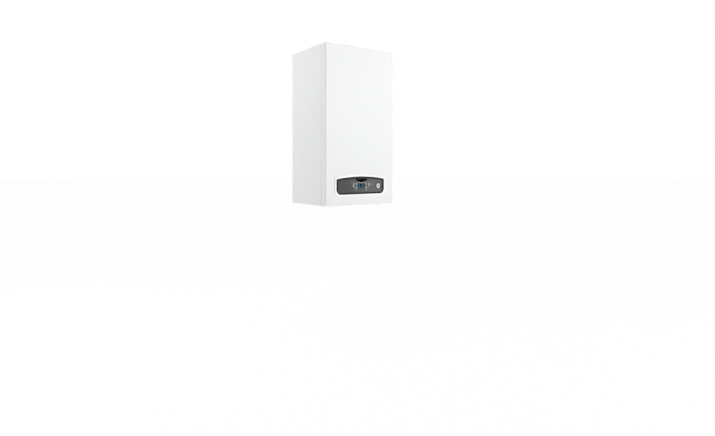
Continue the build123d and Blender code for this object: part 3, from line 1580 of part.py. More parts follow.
def make_trap_cup():
    """The cup that screws off below the trap for cleaning."""
    bore = trap_neck_radius + running_fit
    head = plate_top - seat
    foot = head - trap_cup_depth
    outline = [
        (0, foot), (trap_cup_radius, foot), (trap_cup_radius, head), (bore, head), (bore,
            foot + trap_cup_wall),
        (0, foot + trap_cup_wall),
    ]
    return turned((trap_place, -trap_setback, 0), (0, 0, 1), outline)


def make_condensate_hose():
    """The hose from the heat exchanger's sump down to the trap."""
    foot = trap_top + trap_spigot - trap_flange
    head = exchanger_centre - exchanger_radius - sump_drop / 2
    hose = rod((trap_place, -trap_setback, foot), (0, 0, 1), waste_hose_radius, head - foot)
    lower = rod((trap_place, -trap_setback, foot - overrun), (0, 0, 1),
        trap_spigot_radius + running_fit, overrun + trap_flange + seat)
    upper = rod((trap_place, -trap_setback, head + overrun), (0, 0, -1), sump_radius + running_fit,
        overrun + sump_drop / 2 + seat)
    return hose - lower - upper


pieces = {
    "back_frame": make_back_frame(),
    "left_side_panel": mirror(make_side_panel(), Plane.YZ),
    "right_side_panel": make_side_panel(),
    "top_panel": make_top_panel(),
    "bottom_plate": make_bottom_plate(),
    "front_cover": make_front_cover(),
    "panel_surround": make_panel_surround(),
    "cover_screws": make_cover_screws(),
    "fascia": make_fascia(),
    "fascia_overlay": make_fascia_overlay(),
    "mode_key": make_mode_key(),
    "display": make_display(),
    "clear_windows": make_clear_windows(),
    "gauge_body": make_gauge_body(),
    "gauge_needle": make_gauge_needle(),
    "control_box": make_control_box(),
    "circuit_board": make_circuit_board(),
    "chamber_body": make_chamber_body(),
    "chamber_seal": make_chamber_seal(),
    "chamber_cover": make_chamber_cover(),
    "chamber_screws": make_chamber_screws(),
    "heat_exchanger": make_heat_exchanger(),
    "burner_door": make_burner_door(),
    "door_nuts": make_door_nuts(),
    "burner": make_burner(),
    "electrodes": make_electrodes(),
    "fan_housing": make_fan_housing(),
    "fan_impeller": make_fan_impeller(),
    "fan_motor": make_fan_motor(),
    "mixture_duct": make_mixture_duct(),
    "gas_air_mixer": make_gas_air_mixer(),
    "air_silencer": make_air_silencer(),
    "gas_valve": make_gas_valve(),
    "gas_pipe": make_gas_pipe(),
    "spark_unit": make_spark_unit(),
    "flue_pipe": make_flue_pipe(),
    "flue_collar": make_flue_collar(),
    "test_cap": make_test_cap(),
    "expansion_vessel": make_expansion_vessel(),
    "vessel_hose": make_vessel_hose(),
    "pipe_tails": make_pipe_tails(),
    "water_pipes": make_water_pipe(-1, flow_height) + make_water_pipe(1, return_height),
    "flow_block": make_flow_block(),
    "diverter_spindle": make_diverter_spindle(),
    "diverter_motor": make_diverter_motor(),
    "safety_valve": make_safety_valve(),
    "relief_knob": make_relief_knob(),
    "pump_body": make_pump_body(),
    "pump_motor": make_pump_motor(),
    "pump_rotor": make_pump_rotor(),
    "air_vent": make_air_vent(),
    "vent_cap": make_vent_cap(),
    "drain_knob": make_drain_knob(),
    "condensate_trap": make_condensate_trap(),
    "trap_cup": make_trap_cup(),
    "condensate_hose": make_condensate_hose(),
}
for name, place in key_places().items():
    pieces[name] = make_round_key(place)

os.makedirs("parts", exist_ok=True)
origin = Pos(0, 0, -slot_height)
for name, solid in pieces.items():
    export_step(origin * solid, f"parts/{name}.step")
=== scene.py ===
import json
import math
from itertools import product

import bmesh
import bpy
from mathutils import Matrix, Vector


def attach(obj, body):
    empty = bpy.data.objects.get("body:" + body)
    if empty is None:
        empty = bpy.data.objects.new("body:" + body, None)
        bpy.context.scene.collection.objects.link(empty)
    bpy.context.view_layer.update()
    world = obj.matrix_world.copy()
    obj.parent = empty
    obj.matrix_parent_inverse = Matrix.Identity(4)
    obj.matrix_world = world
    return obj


# A wall-hung condensing boiler: its finishes, its printed and fine detail, and a plain studio.
# Places are written as on the case, in millimetres: x from its middle, y into the wall, and z
# up from its foot.

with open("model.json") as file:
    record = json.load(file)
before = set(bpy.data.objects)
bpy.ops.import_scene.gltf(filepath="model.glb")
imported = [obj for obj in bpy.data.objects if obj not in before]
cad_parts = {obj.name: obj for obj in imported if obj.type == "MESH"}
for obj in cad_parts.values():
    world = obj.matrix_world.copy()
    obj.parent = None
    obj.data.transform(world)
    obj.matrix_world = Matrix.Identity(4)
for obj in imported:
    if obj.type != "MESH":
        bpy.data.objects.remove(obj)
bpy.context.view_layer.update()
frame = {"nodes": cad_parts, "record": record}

PI = math.pi
MM = 0.001
METRE = 1000
# The row frame's origin is level with the wall slots, this far above the case's foot.
SLOT_HEIGHT = 712.0
# The faces at the front: the case, the panel's facing, and the display and dial set behind it.
FRONT = -310.0
FACING = FRONT + 0.3
GLASS = FACING + 1.1
DIAL = FACING + 3.0
# How thick a print is drawn.
PRINT = 0.04


def place(x, y, z):
    """A point on the case, in the row frame's metres."""
    return Vector((x, y, z - SLOT_HEIGHT)) * MM


# Nodes and colours

# The sockets that mix two colours on a Mix node, and the one that gives the result.
SHARE, FIRST, SECOND, MIXED = 0, 6, 7, 2

METAL = {"Metallic": 1.0}
# Dark mouldings and films reflect less than plain plastic, as their faces are finely textured.
MATT = {"Specular IOR Level": 0.16}
# Flat black ink and the smoked glass over the display reflect less again.
DULL = {"Specular IOR Level": 0.03}


def linear(colour):
    """An sRGB hex colour as the linear values that a shader takes."""
    values = [int(colour[i:i + 2], 16) / 255 for i in (1, 3, 5)]
    return [v / 12.92 if v <= 0.04045 else ((v + 0.055) / 1.055) ** 2.4 for v in values] + [1.0]


def add(tree, kind, inputs=(), **settings):
    """Adds a node: settings are its properties, and inputs its sockets' values or links."""
    node = tree.nodes.new(kind)
    for name, value in settings.items():
        setattr(node, name, value)
    for name, value in dict(inputs).items():
        if isinstance(value, bpy.types.NodeSocket):
            tree.links.new(value, node.inputs[name])
        else:
            node.inputs[name].default_value = value
    return node


def start_material(name):
    """An empty material, with its tree and the point on the object that is being shaded."""
    material = bpy.data.materials.new(name)
    material.use_nodes = True
    tree = material.node_tree
    tree.nodes.clear()
    return material, tree, add(tree, "ShaderNodeTexCoord").outputs["Object"]


def close_material(material, shader):
    add(material.node_tree, "ShaderNodeOutputMaterial", {"Surface": shader.outputs[0]})
    return material


def grained(name, colour, shade, grain, roughness, depth, drift, stretch=(1, 1, 1), **more):
    """A fine grain, a slow drift of colour and a varied sheen; more holds shader constants."""
    material, tree, point = start_material(name)
    stretched = add(tree, "ShaderNodeMapping", {"Vector": point, "Scale": stretch})
    fine = add(tree, "ShaderNodeTexNoise", {
        "Vector": stretched.outputs["Vector"], "Scale": METRE / grain, "Detail": 3.0,
        "Roughness": 0.55})
    slow = add(tree, "ShaderNodeTexNoise", {"Vector": point, "Scale": METRE / drift})
    amount = add(tree, "ShaderNodeMath", {
        0: fine.outputs["Fac"], 1: slow.outputs["Fac"]}, operation="MULTIPLY")
    spread = add(tree, "ShaderNodeMapRange", {
        "Value": amount.outputs[0], "From Min": 0.12, "From Max": 0.42})
    mixed = add(tree, "ShaderNodeMix", {
        SHARE: spread.outputs[0], FIRST: linear(shade), SECOND: linear(colour)}, data_type="RGBA")
    sheen = add(tree, "ShaderNodeMapRange", {
        "Value": slow.outputs["Fac"], "From Min": 0.3, "From Max": 0.7,
        "To Min": roughness[0], "To Max": roughness[1]})
    inputs = {"Base Color": mixed.outputs[MIXED], "Roughness": sheen.outputs[0], **more}
    if depth:
        relief = add(tree, "ShaderNodeBump", {
            "Height": fine.outputs["Fac"], "Distance": depth * MM})
        inputs["Normal"] = relief.outputs[0]
    return close_material(material, add(tree, "ShaderNodeBsdfPrincipled", inputs))


def galvanised_sheet(name, colour, shade, spangle):
    """Hot-dip zinc: crystals of slightly different greys, about spangle millimetres across."""
    material, tree, point = start_material(name)
    crystals = add(tree, "ShaderNodeTexVoronoi", {"Vector": point, "Scale": METRE / spangle})
    split = add(tree, "ShaderNodeSeparateColor", {"Color": crystals.outputs["Color"]})
    grey = split.outputs[0]
    mixed = add(tree, "ShaderNodeMix", {
        SHARE: grey, FIRST: linear(shade), SECOND: linear(colour)}, data_type="RGBA")
    sheen = add(tree, "ShaderNodeMapRange", {"Value": grey, "To Min": 0.46, "To Max": 0.62})
    relief = add(tree, "ShaderNodeBump", {
        "Height": crystals.outputs["Distance"], "Distance": 0.4 * MM, "Strength": 0.35})
    return close_material(material, add(tree, "ShaderNodeBsdfPrincipled", {
        "Base Color": mixed.outputs[MIXED], "Roughness": sheen.outputs[0], "Metallic": 0.85,
        "Normal": relief.outputs[0]}))


def welded_stainless(name, colour, tint, door, reach):
    """Rolled stainless: lines round the drum, and heat tint that fades from the burner door."""
    material, tree, point = start_material(name)
    lines = add(tree, "ShaderNodeMapping", {"Vector": point, "Scale": (0.04, 1.0, 0.04)})
    rolled = add(tree, "ShaderNodeTexNoise", {
        "Vector": lines.outputs["Vector"], "Scale": METRE / 0.9})
    depth = add(tree, "ShaderNodeSeparateXYZ", {"Vector": point}).outputs["Y"]
    heat = add(tree, "ShaderNodeMapRange", {
        "Value": depth, "From Min": door * MM, "From Max": (door + reach) * MM,
        "To Min": 1.0, "To Max": 0.0})
    cloud = add(tree, "ShaderNodeTexNoise", {"Vector": point, "Scale": METRE / 60})
    share = add(tree, "ShaderNodeMath", {
        0: heat.outputs[0], 1: cloud.outputs["Fac"]}, operation="MULTIPLY")
    mixed = add(tree, "ShaderNodeMix", {
        SHARE: share.outputs[0], FIRST: linear(colour), SECOND: linear(tint)}, data_type="RGBA")
    sheen = add(tree, "ShaderNodeMapRange", {
        "Value": rolled.outputs["Fac"], "To Min": 0.34, "To Max": 0.56})
    relief = add(tree, "ShaderNodeBump", {"Height": rolled.outputs["Fac"], "Distance": 0.03 * MM})
    return close_material(material, add(tree, "ShaderNodeBsdfPrincipled", {
        "Base Color": mixed.outputs[MIXED], "Roughness": sheen.outputs[0],
        "Normal": relief.outputs[0], **METAL}))


def printed_facing(name, left, right, reach):
    """Satin polycarbonate, printed on its back, with a painted reflection that lightens it from the
    left to the right.
    """
    material, tree, point = start_material(name)
    across = add(tree, "ShaderNodeSeparateXYZ", {"Vector": point}).outputs["X"]
    # The painted reflection: the grey lightens across the facing.
    tone = add(tree, "ShaderNodeMapRange", {
        "Value": across, "From Min": -reach * MM, "From Max": reach * MM},
        interpolation_type="SMOOTHSTEP")
    mixed = add(tree, "ShaderNodeMix", {
        SHARE: tone.outputs[0], FIRST: linear(left), SECOND: linear(right)}, data_type="RGBA")
    # The film's texture is about 0.1 mm, drawn at 0.7 mm so that it shows.
    satin = add(tree, "ShaderNodeTexNoise", {"Vector": point, "Scale": METRE / 0.7})
    sheen = add(tree, "ShaderNodeMapRange", {
        "Value": satin.outputs["Fac"], "To Min": 0.34, "To Max": 0.5})
    relief = add(tree, "ShaderNodeBump", {"Height": satin.outputs["Fac"], "Distance": 0.01 * MM})
    return close_material(material, add(tree, "ShaderNodeBsdfPrincipled", {
        "Base Color": mixed.outputs[MIXED], "Roughness": sheen.outputs[0],
        "Normal": relief.outputs[0], **MATT}))


def clear_plastic(name, tint, haze):
    """Polished acrylic: clear, with a faint haze of fine wiping marks."""
    material, tree, point = start_material(name)
    marks = add(tree, "ShaderNodeTexNoise", {"Vector": point, "Scale": METRE / 1.5})
    sheen = add(tree, "ShaderNodeMapRange", {
        "Value": marks.outputs["Fac"], "To Min": 0.02, "To Max": 0.07})
    tone = add(tree, "ShaderNodeMix", {
        SHARE: marks.outputs["Fac"], FIRST: linear(tint), SECOND: linear(haze)}, data_type="RGBA")
    return close_material(material, add(tree, "ShaderNodeBsdfPrincipled", {
        "Base Color": tone.outputs[MIXED], "Roughness": sheen.outputs[0], "IOR": 1.49,
        "Alpha": 0.05}))


def lit_segments(name, colour, dim, glow):
    """Backlit display segments: even light with a faint dot pattern of the lamp behind."""
    material, tree, point = start_material(name)
    dots = add(tree, "ShaderNodeTexVoronoi", {"Vector": point, "Scale": METRE / 1.2})
    even = add(tree, "ShaderNodeMapRange", {"Value": dots.outputs["Distance"], "From Max": 0.8})
    mixed = add(tree, "ShaderNodeMix", {
        SHARE: even.outputs[0], FIRST: linear(colour), SECOND: linear(dim)}, data_type="RGBA")
    return close_material(material, add(tree, "ShaderNodeBsdfPrincipled", {
        "Base Color": mixed.outputs[MIXED], "Roughness": 0.4,
        "Emission Color": mixed.outputs[MIXED], "Emission Strength": glow}))


def lacquered_board(name, lacquer, track):
    """Lacquer over a circuit board, with the copper tracks just showing as lighter lines."""
    material, tree, point = start_material(name)
    turned = add(tree, "ShaderNodeMapping", {"Vector": point, "Rotation": (PI / 2, 0, 0)})
    tracks = add(tree, "ShaderNodeTexBrick", {
        "Vector": turned.outputs["Vector"], "Scale": METRE / 18, "Mortar Size": 0.03,
        "Color1": linear(lacquer), "Color2": linear(lacquer), "Mortar": linear(track)})
    cloud = add(tree, "ShaderNodeTexNoise", {"Vector": point, "Scale": METRE / 25})
    sheen = add(tree, "ShaderNodeMapRange", {
        "Value": cloud.outputs["Fac"], "To Min": 0.22, "To Max": 0.4})
    return close_material(material, add(tree, "ShaderNodeBsdfPrincipled", {
        "Base Color": tracks.outputs["Color"], "Roughness": sheen.outputs[0],
        "Coat Weight": 0.4}))


# Finishes by the record's slots: name, light and dark colour, then grain, range of roughness,
# depth of grain and drift of colour, whose lengths are millimetres.
# Grains finer than half a millimetre are drawn coarser than they are, so that they show.

finishes = {
    # Hot-dip sheet: dull grey with a patchwork of crystals.
    "galvanised": galvanised_sheet("galvanised_sheet", "#AEB3B6", "#92989B", 9),
    # Powder coat: an even white with the slight orange peel of cured polyester.
    "casing_white": grained(
        "powder_coat_white", "#EDEEEE", "#EAEBEB", 1.5, (0.44, 0.52), 0.006, 400),
    # Moulded ABS with a semi-gloss face: the ring reads a little brighter than the case.
    "surround_white": grained(
        "moulded_abs_bright_white", "#FFFFFF", "#FBFBFB", 0.8, (0.18, 0.26), 0.002, 200),
    # Zinc plate: bright grey metal with a slightly cloudy sheen.
    "plated": grained(
        "zinc_plated_steel", "#AFAFA8", "#93938E", 0.7, (0.34, 0.5), 0.004, 14, **METAL),
    # Spark-eroded ABS: matt and dark; its grain of about 0.3 mm is drawn at 0.6 mm.
    "fascia_dark": grained(
        "moulded_abs_anthracite", "#262628", "#1C1C1F", 0.6, (0.42, 0.56), 0.02, 60, **MATT),
    # Printed film: a satin grey, with a painted reflection that lightens it to the right.
    "overlay_grey": printed_facing("polycarbonate_facing_painted_reflection", "#444648", "#616265", 127),
    # Moulded keys: light grey, with the soft sheen of handled plastic.
    "key_light": grained("moulded_abs_key_grey", "#A5A6A4", "#999A98", 0.5, (0.3, 0.42), 0.008, 12),
    # Smoked glass: near black, so that only the lit segments show.
    "display_black": grained(
        "smoked_display_glass", "#050506", "#030304", 2.0, (0.08, 0.16), 0, 20, **DULL),
    # Acrylic windows: a clear gloss over the display and the dial.
    "clear": clear_plastic("polished_acrylic_window", "#3A4044", "#5A6064"),
    # Printed enamel: a flat, clean white behind the scale.
    "gauge_case": grained("printed_dial_enamel", "#FAFAF8", "#F3F3F0", 0.8, (0.4, 0.5), 0, 30),
    # Stamped and blackened: the needle is one dull black line.
    "needle_dark": grained(
        "stamped_needle_black", "#141416", "#0B0B0C", 0.4, (0.4, 0.55), 0.004, 8),
    # Moulded PC and ABS: a plain mid grey with an even tool grain.
    "box_plastic": grained(
        "moulded_pc_abs_box_grey", "#4A4C4E", "#3C3E40", 0.8, (0.45, 0.6), 0.02, 80),
    # Lacquered board: dark green under a thin gloss, with lighter tracks.
    "board_green": lacquered_board("lacquered_circuit_board", "#123C22", "#2C6B3E"),
    # The chamber's sheet: larger crystals than those of the frame.
    "chamber_steel": galvanised_sheet("galvanised_chamber_sheet", "#AEB3B6", "#959A9E", 12),
    # Closed-cell foam: dead matt black with open pores.
    "foam_dark": grained("closed_cell_foam", "#2A2A2B", "#151516", 1.2, (0.8, 0.95), 0.15, 30),
    # Rolled and welded stainless: bright, with lines round the drum and heat tint at its door.
    "stainless": welded_stainless("welded_stainless_drum", "#B3B2AF", "#8C6F4A", -224, 70),
    # Sand-cast aluminium: pale, and rough like fine sandpaper.
    "cast_aluminium": grained(
        "sand_cast_aluminium", "#A3A5A7", "#7F8183", 1.1, (0.5, 0.66), 0.08, 40, **METAL),
    # Perforated steel: browned in patches by the flame.
    "burner_steel": grained(
        "perforated_burner_steel", "#8C837A", "#5B554F", 1.6, (0.35, 0.6), 0.02, 25, **METAL),
    # Glazed alumina: a glossy ivory sleeve.
    "ceramic_white": grained(
        "glazed_alumina_sleeve", "#F0EDE4", "#E2DED2", 1.5, (0.12, 0.22), 0.004, 20),
    # Dip-coated motor cans: black with a soft shine.
    "motor_black": grained(
        "cathodic_motor_coat", "#2A2C2E", "#1A1C1E", 1.0, (0.3, 0.45), 0.015, 50),
    # Glass-filled nylon: black with a dry, slightly mottled skin.
    "black_plastic": grained(
        "glass_filled_nylon_black", "#1F2022", "#121314", 0.7, (0.45, 0.65), 0.03, 35),
    # Die-cast valve body: smoother and brighter than the sand castings.
    "valve_grey": grained(
        "die_cast_valve_body", "#A7AAAC", "#8A8D90", 0.9, (0.35, 0.5), 0.03, 30, **METAL),
    # Painted gas pipe: a thin, slightly uneven yellow.
    "gas_yellow": grained(
        "thin_yellow_pipe_paint", "#D9B83A", "#C39F2B", 1.8, (0.3, 0.45), 0.01, 60),
    # Moulded flue plastic: a clean white with a low sheen.
    "flue_white": grained(
        "moulded_flue_white", "#FBFBFB", "#F5F5F5", 1.0, (0.28, 0.38), 0.006, 120),
    # Stoved enamel: a deep, glossy red.
    "vessel_red": grained("stoved_red_enamel", "#A81E18", "#8E1713", 1.6, (0.14, 0.24), 0.012, 120),
    # Extruded rubber: mid grey and matt.
    "hose_grey": grained("extruded_hose_rubber", "#5A5C5E", "#494B4D", 0.9, (0.55, 0.7), 0.02, 40),
    # Machined brass: yellow metal, its grain drawn out into fine turning lines.
    "brass": grained(
        "machined_brass", "#CDA75F", "#A98443", 0.5, (0.2, 0.34), 0.012, 25, (1, 1, 6),
        **METAL),
    # Drawn copper: warm, with long faint streaks up the tubes.
    "copper": grained(
        "drawn_copper_tube", "#C98560", "#9C5E40", 2.2, (0.2, 0.42), 0.006, 45, (1, 1, 0.15),
        **METAL),
    # Moulded knob: bright red with a soft sheen.
    "knob_red": grained("moulded_knob_red", "#B51C16", "#9A1510", 0.8, (0.25, 0.36), 0.006, 20),
    # Natural polypropylene: a milky grey with a waxy sheen.
    "trap_grey": grained("natural_polypropylene", "#D5D8DA", "#C3C7CA", 1.2, (0.3, 0.45), 0.01, 40),
}
for entry in frame["record"]["subparts"]:
    for material_slot in frame["nodes"][entry["node"]].material_slots:
        material_slot.material = finishes[entry["material_slot"]]

# Screen inks: flat to the eye, with the slight mottle of the screen's mesh.
light_ink = grained("screen_ink_light", "#D9DADB", "#C9CACC", 0.5, (0.4, 0.5), 0, 15)
grey_ink = grained("screen_ink_grey", "#A4A6A8", "#96989A", 0.5, (0.4, 0.5), 0, 15)
black_ink = grained("screen_ink_black", "#060607", "#030304", 0.5, (0.45, 0.56), 0, 15, **DULL)
red_ink = grained("screen_ink_red", "#B8483F", "#A43B33", 0.5, (0.4, 0.5), 0, 15)
# Backlit segments: they read as light and not as paint, the red ones only just.
cyan_glow = lit_segments("backlit_cyan_segments", "#3FA9C4", "#2C86A4", 0.5)
red_glow = lit_segments("backlit_red_symbols", "#8E2A24", "#6E1F1B", 0.12)
# Silicone sleeve: pale and soft, with almost no shine.
lead_silicone = grained("silicone_lead_sleeve", "#C8C8C4", "#B5B5B0", 1.0, (0.5, 0.6), 0.01, 20)
# Extruded PVC: a soft sheen on the dark leads, and a drier one on the grey duct.
lead_pvc = grained("extruded_pvc_lead", "#2E3033", "#232528", 1.0, (0.42, 0.55), 0.008, 25, **MATT)
duct_pvc = grained("extruded_pvc_wiring_duct", "#7E8386", "#74797C", 1.0, (0.45, 0.58), 0.01, 70)
# Moulded epoxy: black and finely pitted.
chip_epoxy = grained("moulded_chip_epoxy", "#1C1D20", "#101113", 0.6, (0.5, 0.65), 0.02, 10)
# The ports: flat dark discs, painted shade for the open holes, tinted soot brown, with no shine.
port_painted_shade = grained("burner_port_painted_shade", "#221D19", "#120F0D", 0.8, (0.7, 0.85), 0, 6)
# Brushed plate: pale metal with long, fine lines across it.
blank_plate = grained(
    "brushed_blank_plate", "#A6A8AA", "#929597", 0.8, (0.4, 0.54), 0.003, 60, (0.05, 1, 1),
    **METAL)


# Ways of making pieces

def link(name, data):
    """An object for a mesh, a lamp or a camera, in the scene."""
    item = bpy.data.objects.new(name, data)
    bpy.context.scene.collection.objects.link(item)
    return item


def keep(mesh, name, body, slot, material=None):
    """Turns a mesh that is already in place into a piece that rides on a body.

    A mesh that has no material yet gets the one given, or else its slot's finish.
    """
    mesh.name = name
    if not mesh.materials:
        mesh.materials.append(material or finishes[slot])
    piece = link(name, mesh)
    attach(piece, body)


def close_shape(shape):
    """A mesh of a finished shape, its faces turned outwards."""
    bmesh.ops.recalc_face_normals(shape, faces=shape.faces)
    mesh = bpy.data.meshes.new("shape")
    shape.to_mesh(mesh)
    shape.free()
    return mesh


def finished_mesh(item):
    """The object's mesh with its modifiers applied."""
    bpy.context.view_layer.update()
    ready = item.evaluated_get(bpy.context.evaluated_depsgraph_get())
    return bpy.data.meshes.new_from_object(ready)


def prisms(outlines, near, far):
    """A mesh of upright outlines in (x, z), each filled between two depths."""
    shape = bmesh.new()
    for outline in outlines:
        face = shape.faces.new([shape.verts.new(place(x, far, z)) for x, z in outline])
        grown = bmesh.ops.extrude_face_region(shape, geom=[face])
        moved = [v for v in grown["geom"] if isinstance(v, bmesh.types.BMVert)]
        bmesh.ops.translate(shape, vec=Vector((0, (near - far) * MM, 0)), verts=moved)
    return close_shape(shape)


def printed(name, outlines, face, slot, ink=None):
    """A print on the control panel: flat shapes, one print thick, in front of a face."""
    keep(prisms(outlines, face - PRINT, face), name, "control_panel", slot, ink)


def arc_points(centre, radius, start, end, count):
    """Points on an arc; angles are degrees clockwise from straight up, as on a dial."""
    angles = [math.radians(start + (end - start) * n / (count - 1)) for n in range(count)]
    return [(centre[0] + radius * math.sin(a), centre[1] + radius * math.cos(a))
            for a in angles]


def band(centre, inner, outer, start, end, count):
    """The outline of an arc-shaped stroke."""
    far_edge = arc_points(centre, outer, start, end, count)
    return far_edge + arc_points(centre, inner, end, start, count)


def stroke(start, end, width):
    """The outline of a straight stroke."""
    start, end = Vector(start), Vector(end)
    along = end - start
    across = Vector((-along.y, along.x)).normalized() * width / 2
    return [tuple(corner) for corner in (
        start + across, start - across, end - across, end + across)]


def disc(centre, radius, count):
    return arc_points(centre, radius, 0, 360 - 360 / count, count)


def cut_box(left, right, foot, head, cut):
    """An upright rectangle with its corners cut, as moulded plugs and duct ends have."""
    return [(left + cut, foot), (right - cut, foot), (right, foot + cut), (right, head - cut),
            (right - cut, head), (left + cut, head), (left, head - cut), (left, foot + cut)]


def lathe(centre, section, count=72):
    """Turns a closed section of (radius, depth) pairs about a line that faces the front."""
    shape = bmesh.new()
    rings = [[shape.verts.new(place(x, depth, z)) for x, z in disc(centre, radius, count)]
             for radius, depth in section]
    for ring, following in zip(rings, rings[1:] + rings[:1]):
        for n in range(count):
            after = (n + 1) % count
            shape.faces.new((ring[n], following[n], following[after], ring[after]))
    return close_shape(shape)


def swept_lead(points, radius):
    """A mesh tube along a smooth line through control points on the case."""
    curve = bpy.data.curves.new("lead", "CURVE")
    curve.dimensions = "3D"
    curve.bevel_depth = radius * MM
    curve.bevel_resolution = 3
    curve.use_fill_caps = True
    line = curve.splines.new("NURBS")
    line.points.add(len(points) - 1)
    for control, point in zip(line.points, points):
        control.co = (*place(*point), 1.0)
    line.order_u = 3
    line.use_endpoint_u = True
    holder = bpy.data.objects.new("lead", curve)
    mesh = bpy.data.meshes.new_from_object(holder)
    bpy.data.objects.remove(holder)
    return mesh


# Geometry trees for what repeats. Each one makes an item and sets it on every point it is given.

# The inputs that are lengths: grow takes them in millimetres.
LENGTHS = {"size", "radius", "height", "ridge", "fin", "length", "port", "step", "block",
           "width", "sheet"}


def geometry_tree(name, inputs):
    """A geometry tree with named inputs and a material, and its input node."""
    tree = bpy.data.node_groups.new(name, "GeometryNodeTree")
    for label, kind in {"Geometry": "Geometry", **inputs, "Material": "Material"}.items():
        tree.interface.new_socket(label, in_out="INPUT", socket_type="NodeSocket" + kind)
    tree.interface.new_socket("Geometry", in_out="OUTPUT", socket_type="NodeSocketGeometry")
    return tree, add(tree, "NodeGroupInput")


def set_out(tree, source, item, **more):
    """Sets the item on each point, turned by Turn where there is one, and ends the tree."""
    if "Turn" in source.outputs:
        turn = add(tree, "FunctionNodeEulerToRotation", {0: source.outputs["Turn"]})
        more["Rotation"] = turn.outputs[0]
    items = add(tree, "GeometryNodeInstanceOnPoints", {
        "Points": source.outputs["Geometry"], "Instance": item, **more})
    real = add(tree, "GeometryNodeRealizeInstances", {"Geometry": items.outputs[0]})
    finish = add(tree, "GeometryNodeSetMaterial", {
        "Geometry": real.outputs[0], "Material": source.outputs["Material"]})
    add(tree, "NodeGroupOutput", {0: finish.outputs[0]})
    return tree


def grow(tree, points, **values):
    """Runs a geometry tree on points and returns a plain mesh."""
    spots = bpy.data.meshes.new("points")
    spots.from_pydata([place(*point) for point in points], [], [])
    holder = link("grown", spots)
    modifier = holder.modifiers.new("grow", "NODES")
    modifier.node_group = tree
    for socket in tree.interface.items_tree:
        label = socket.name.lower()
        if socket.in_out == "INPUT" and label in values:
            value = values[label]
            if label in LENGTHS:
                value = [v * MM for v in value] if isinstance(value, tuple) else value * MM
            modifier[socket.identifier] = value
    mesh = finished_mesh(holder)
    holder.modifiers.remove(modifier)
    bpy.data.objects.remove(holder)
    return mesh


def repeat(tree, name, body, slot, points, material=None, **values):
    """Grows a tree on points, in the material given or the slot's finish, as one piece."""
    mesh = grow(tree, points, material=material or finishes[slot], **values)
    keep(mesh, name, body, slot)


def make_screw_tree():
    """Screws: Screw is the pattern, and Size its head's radius, twice, and its dome."""
    tree, source = geometry_tree("screws", {"Screw": "Object", "Turn": "Vector", "Size": "Vector"})
    pattern = add(tree, "GeometryNodeObjectInfo", {
        "Object": source.outputs["Screw"], "As Instance": True})
    return set_out(tree, source, pattern.outputs["Geometry"], Scale=source.outputs["Size"])


def make_thread_tree():
    """Helical threads: Ridge is the radius of the ridge that winds round."""
    tree, source = geometry_tree("pipe_thread", {
        "Turns": "Float", "Radius": "Float", "Height": "Float", "Ridge": "Float"})
    helix = add(tree, "GeometryNodeCurveSpiral", {
        "Resolution": 28, "Rotations": source.outputs["Turns"],
        "Start Radius": source.outputs["Radius"], "End Radius": source.outputs["Radius"],
        "Height": source.outputs["Height"]})
    ridge = add(tree, "GeometryNodeCurvePrimitiveCircle", {
        "Resolution": 4, "Radius": source.outputs["Ridge"]})
    thread = add(tree, "GeometryNodeCurveToMesh", {
        "Curve": helix.outputs[0], "Profile Curve": ridge.outputs[0], "Fill Caps": True})
    return set_out(tree, source, thread.outputs[0])


def make_fin_tree():
    """Rings of fins: Fin is one fin's size, and Turn tips the ring's axis."""
    tree, source = geometry_tree("ring_of_fins", {
        "Count": "Int", "Radius": "Float", "Fin": "Vector", "Turn": "Vector"})
    ring = add(tree, "GeometryNodeMeshCircle", {
        "Vertices": source.outputs["Count"], "Radius": source.outputs["Radius"]})
    fin = add(tree, "GeometryNodeMeshCube", {"Size": source.outputs["Fin"]})
    index = add(tree, "GeometryNodeInputIndex")
    share = add(tree, "ShaderNodeMath", {
        0: index.outputs[0], 1: source.outputs["Count"]}, operation="DIVIDE")
    angle = add(tree, "ShaderNodeMath", {0: share.outputs[0], 1: 2 * PI}, operation="MULTIPLY")
    about = add(tree, "ShaderNodeCombineXYZ", {"Z": angle.outputs[0]})
    faced = add(tree, "FunctionNodeEulerToRotation", {0: about.outputs[0]})
    fins = add(tree, "GeometryNodeInstanceOnPoints", {
        "Points": ring.outputs[0], "Instance": fin.outputs[0], "Rotation": faced.outputs[0]})
    return set_out(tree, source, fins.outputs[0])


def make_port_tree():
    """Flame ports: discs on a cylinder's wall in columns and rows, facing outwards."""
    tree, source = geometry_tree("burner_ports", {
        "Columns": "Int", "Rows": "Int", "Radius": "Float", "Length": "Float",
        "Port": "Float", "Turn": "Vector"})
    wall = add(tree, "GeometryNodeMeshCylinder", {
        "Vertices": source.outputs["Columns"], "Side Segments": source.outputs["Rows"],
        "Radius": source.outputs["Radius"], "Depth": source.outputs["Length"]},
        fill_type="NONE")
    normal = add(tree, "GeometryNodeInputNormal")
    faced = add(tree, "FunctionNodeAlignRotationToVector", {"Vector": normal.outputs[0]}, axis="Z")
    port = add(tree, "GeometryNodeMeshCircle", {
        "Vertices": 8, "Radius": source.outputs["Port"]}, fill_type="NGON")
    ports = add(tree, "GeometryNodeInstanceOnPoints", {
        "Points": wall.outputs["Mesh"], "Instance": port.outputs[0],
        "Rotation": faced.outputs[0]})
    return set_out(tree, source, ports.outputs[0])


def make_row_tree():
    """Straight rows of small blocks: Step is the pitch, and Block one block's size."""
    tree, source = geometry_tree("row_of_blocks", {
        "Count": "Int", "Step": "Vector", "Block": "Vector"})
    line = add(tree, "GeometryNodeMeshLine", {
        "Count": source.outputs["Count"], "Offset": source.outputs["Step"]}, mode="OFFSET")
    block = add(tree, "GeometryNodeMeshCube", {"Size": source.outputs["Block"]})
    blocks = add(tree, "GeometryNodeInstanceOnPoints", {
        "Points": line.outputs[0], "Instance": block.outputs[0]})
    return set_out(tree, source, blocks.outputs[0])


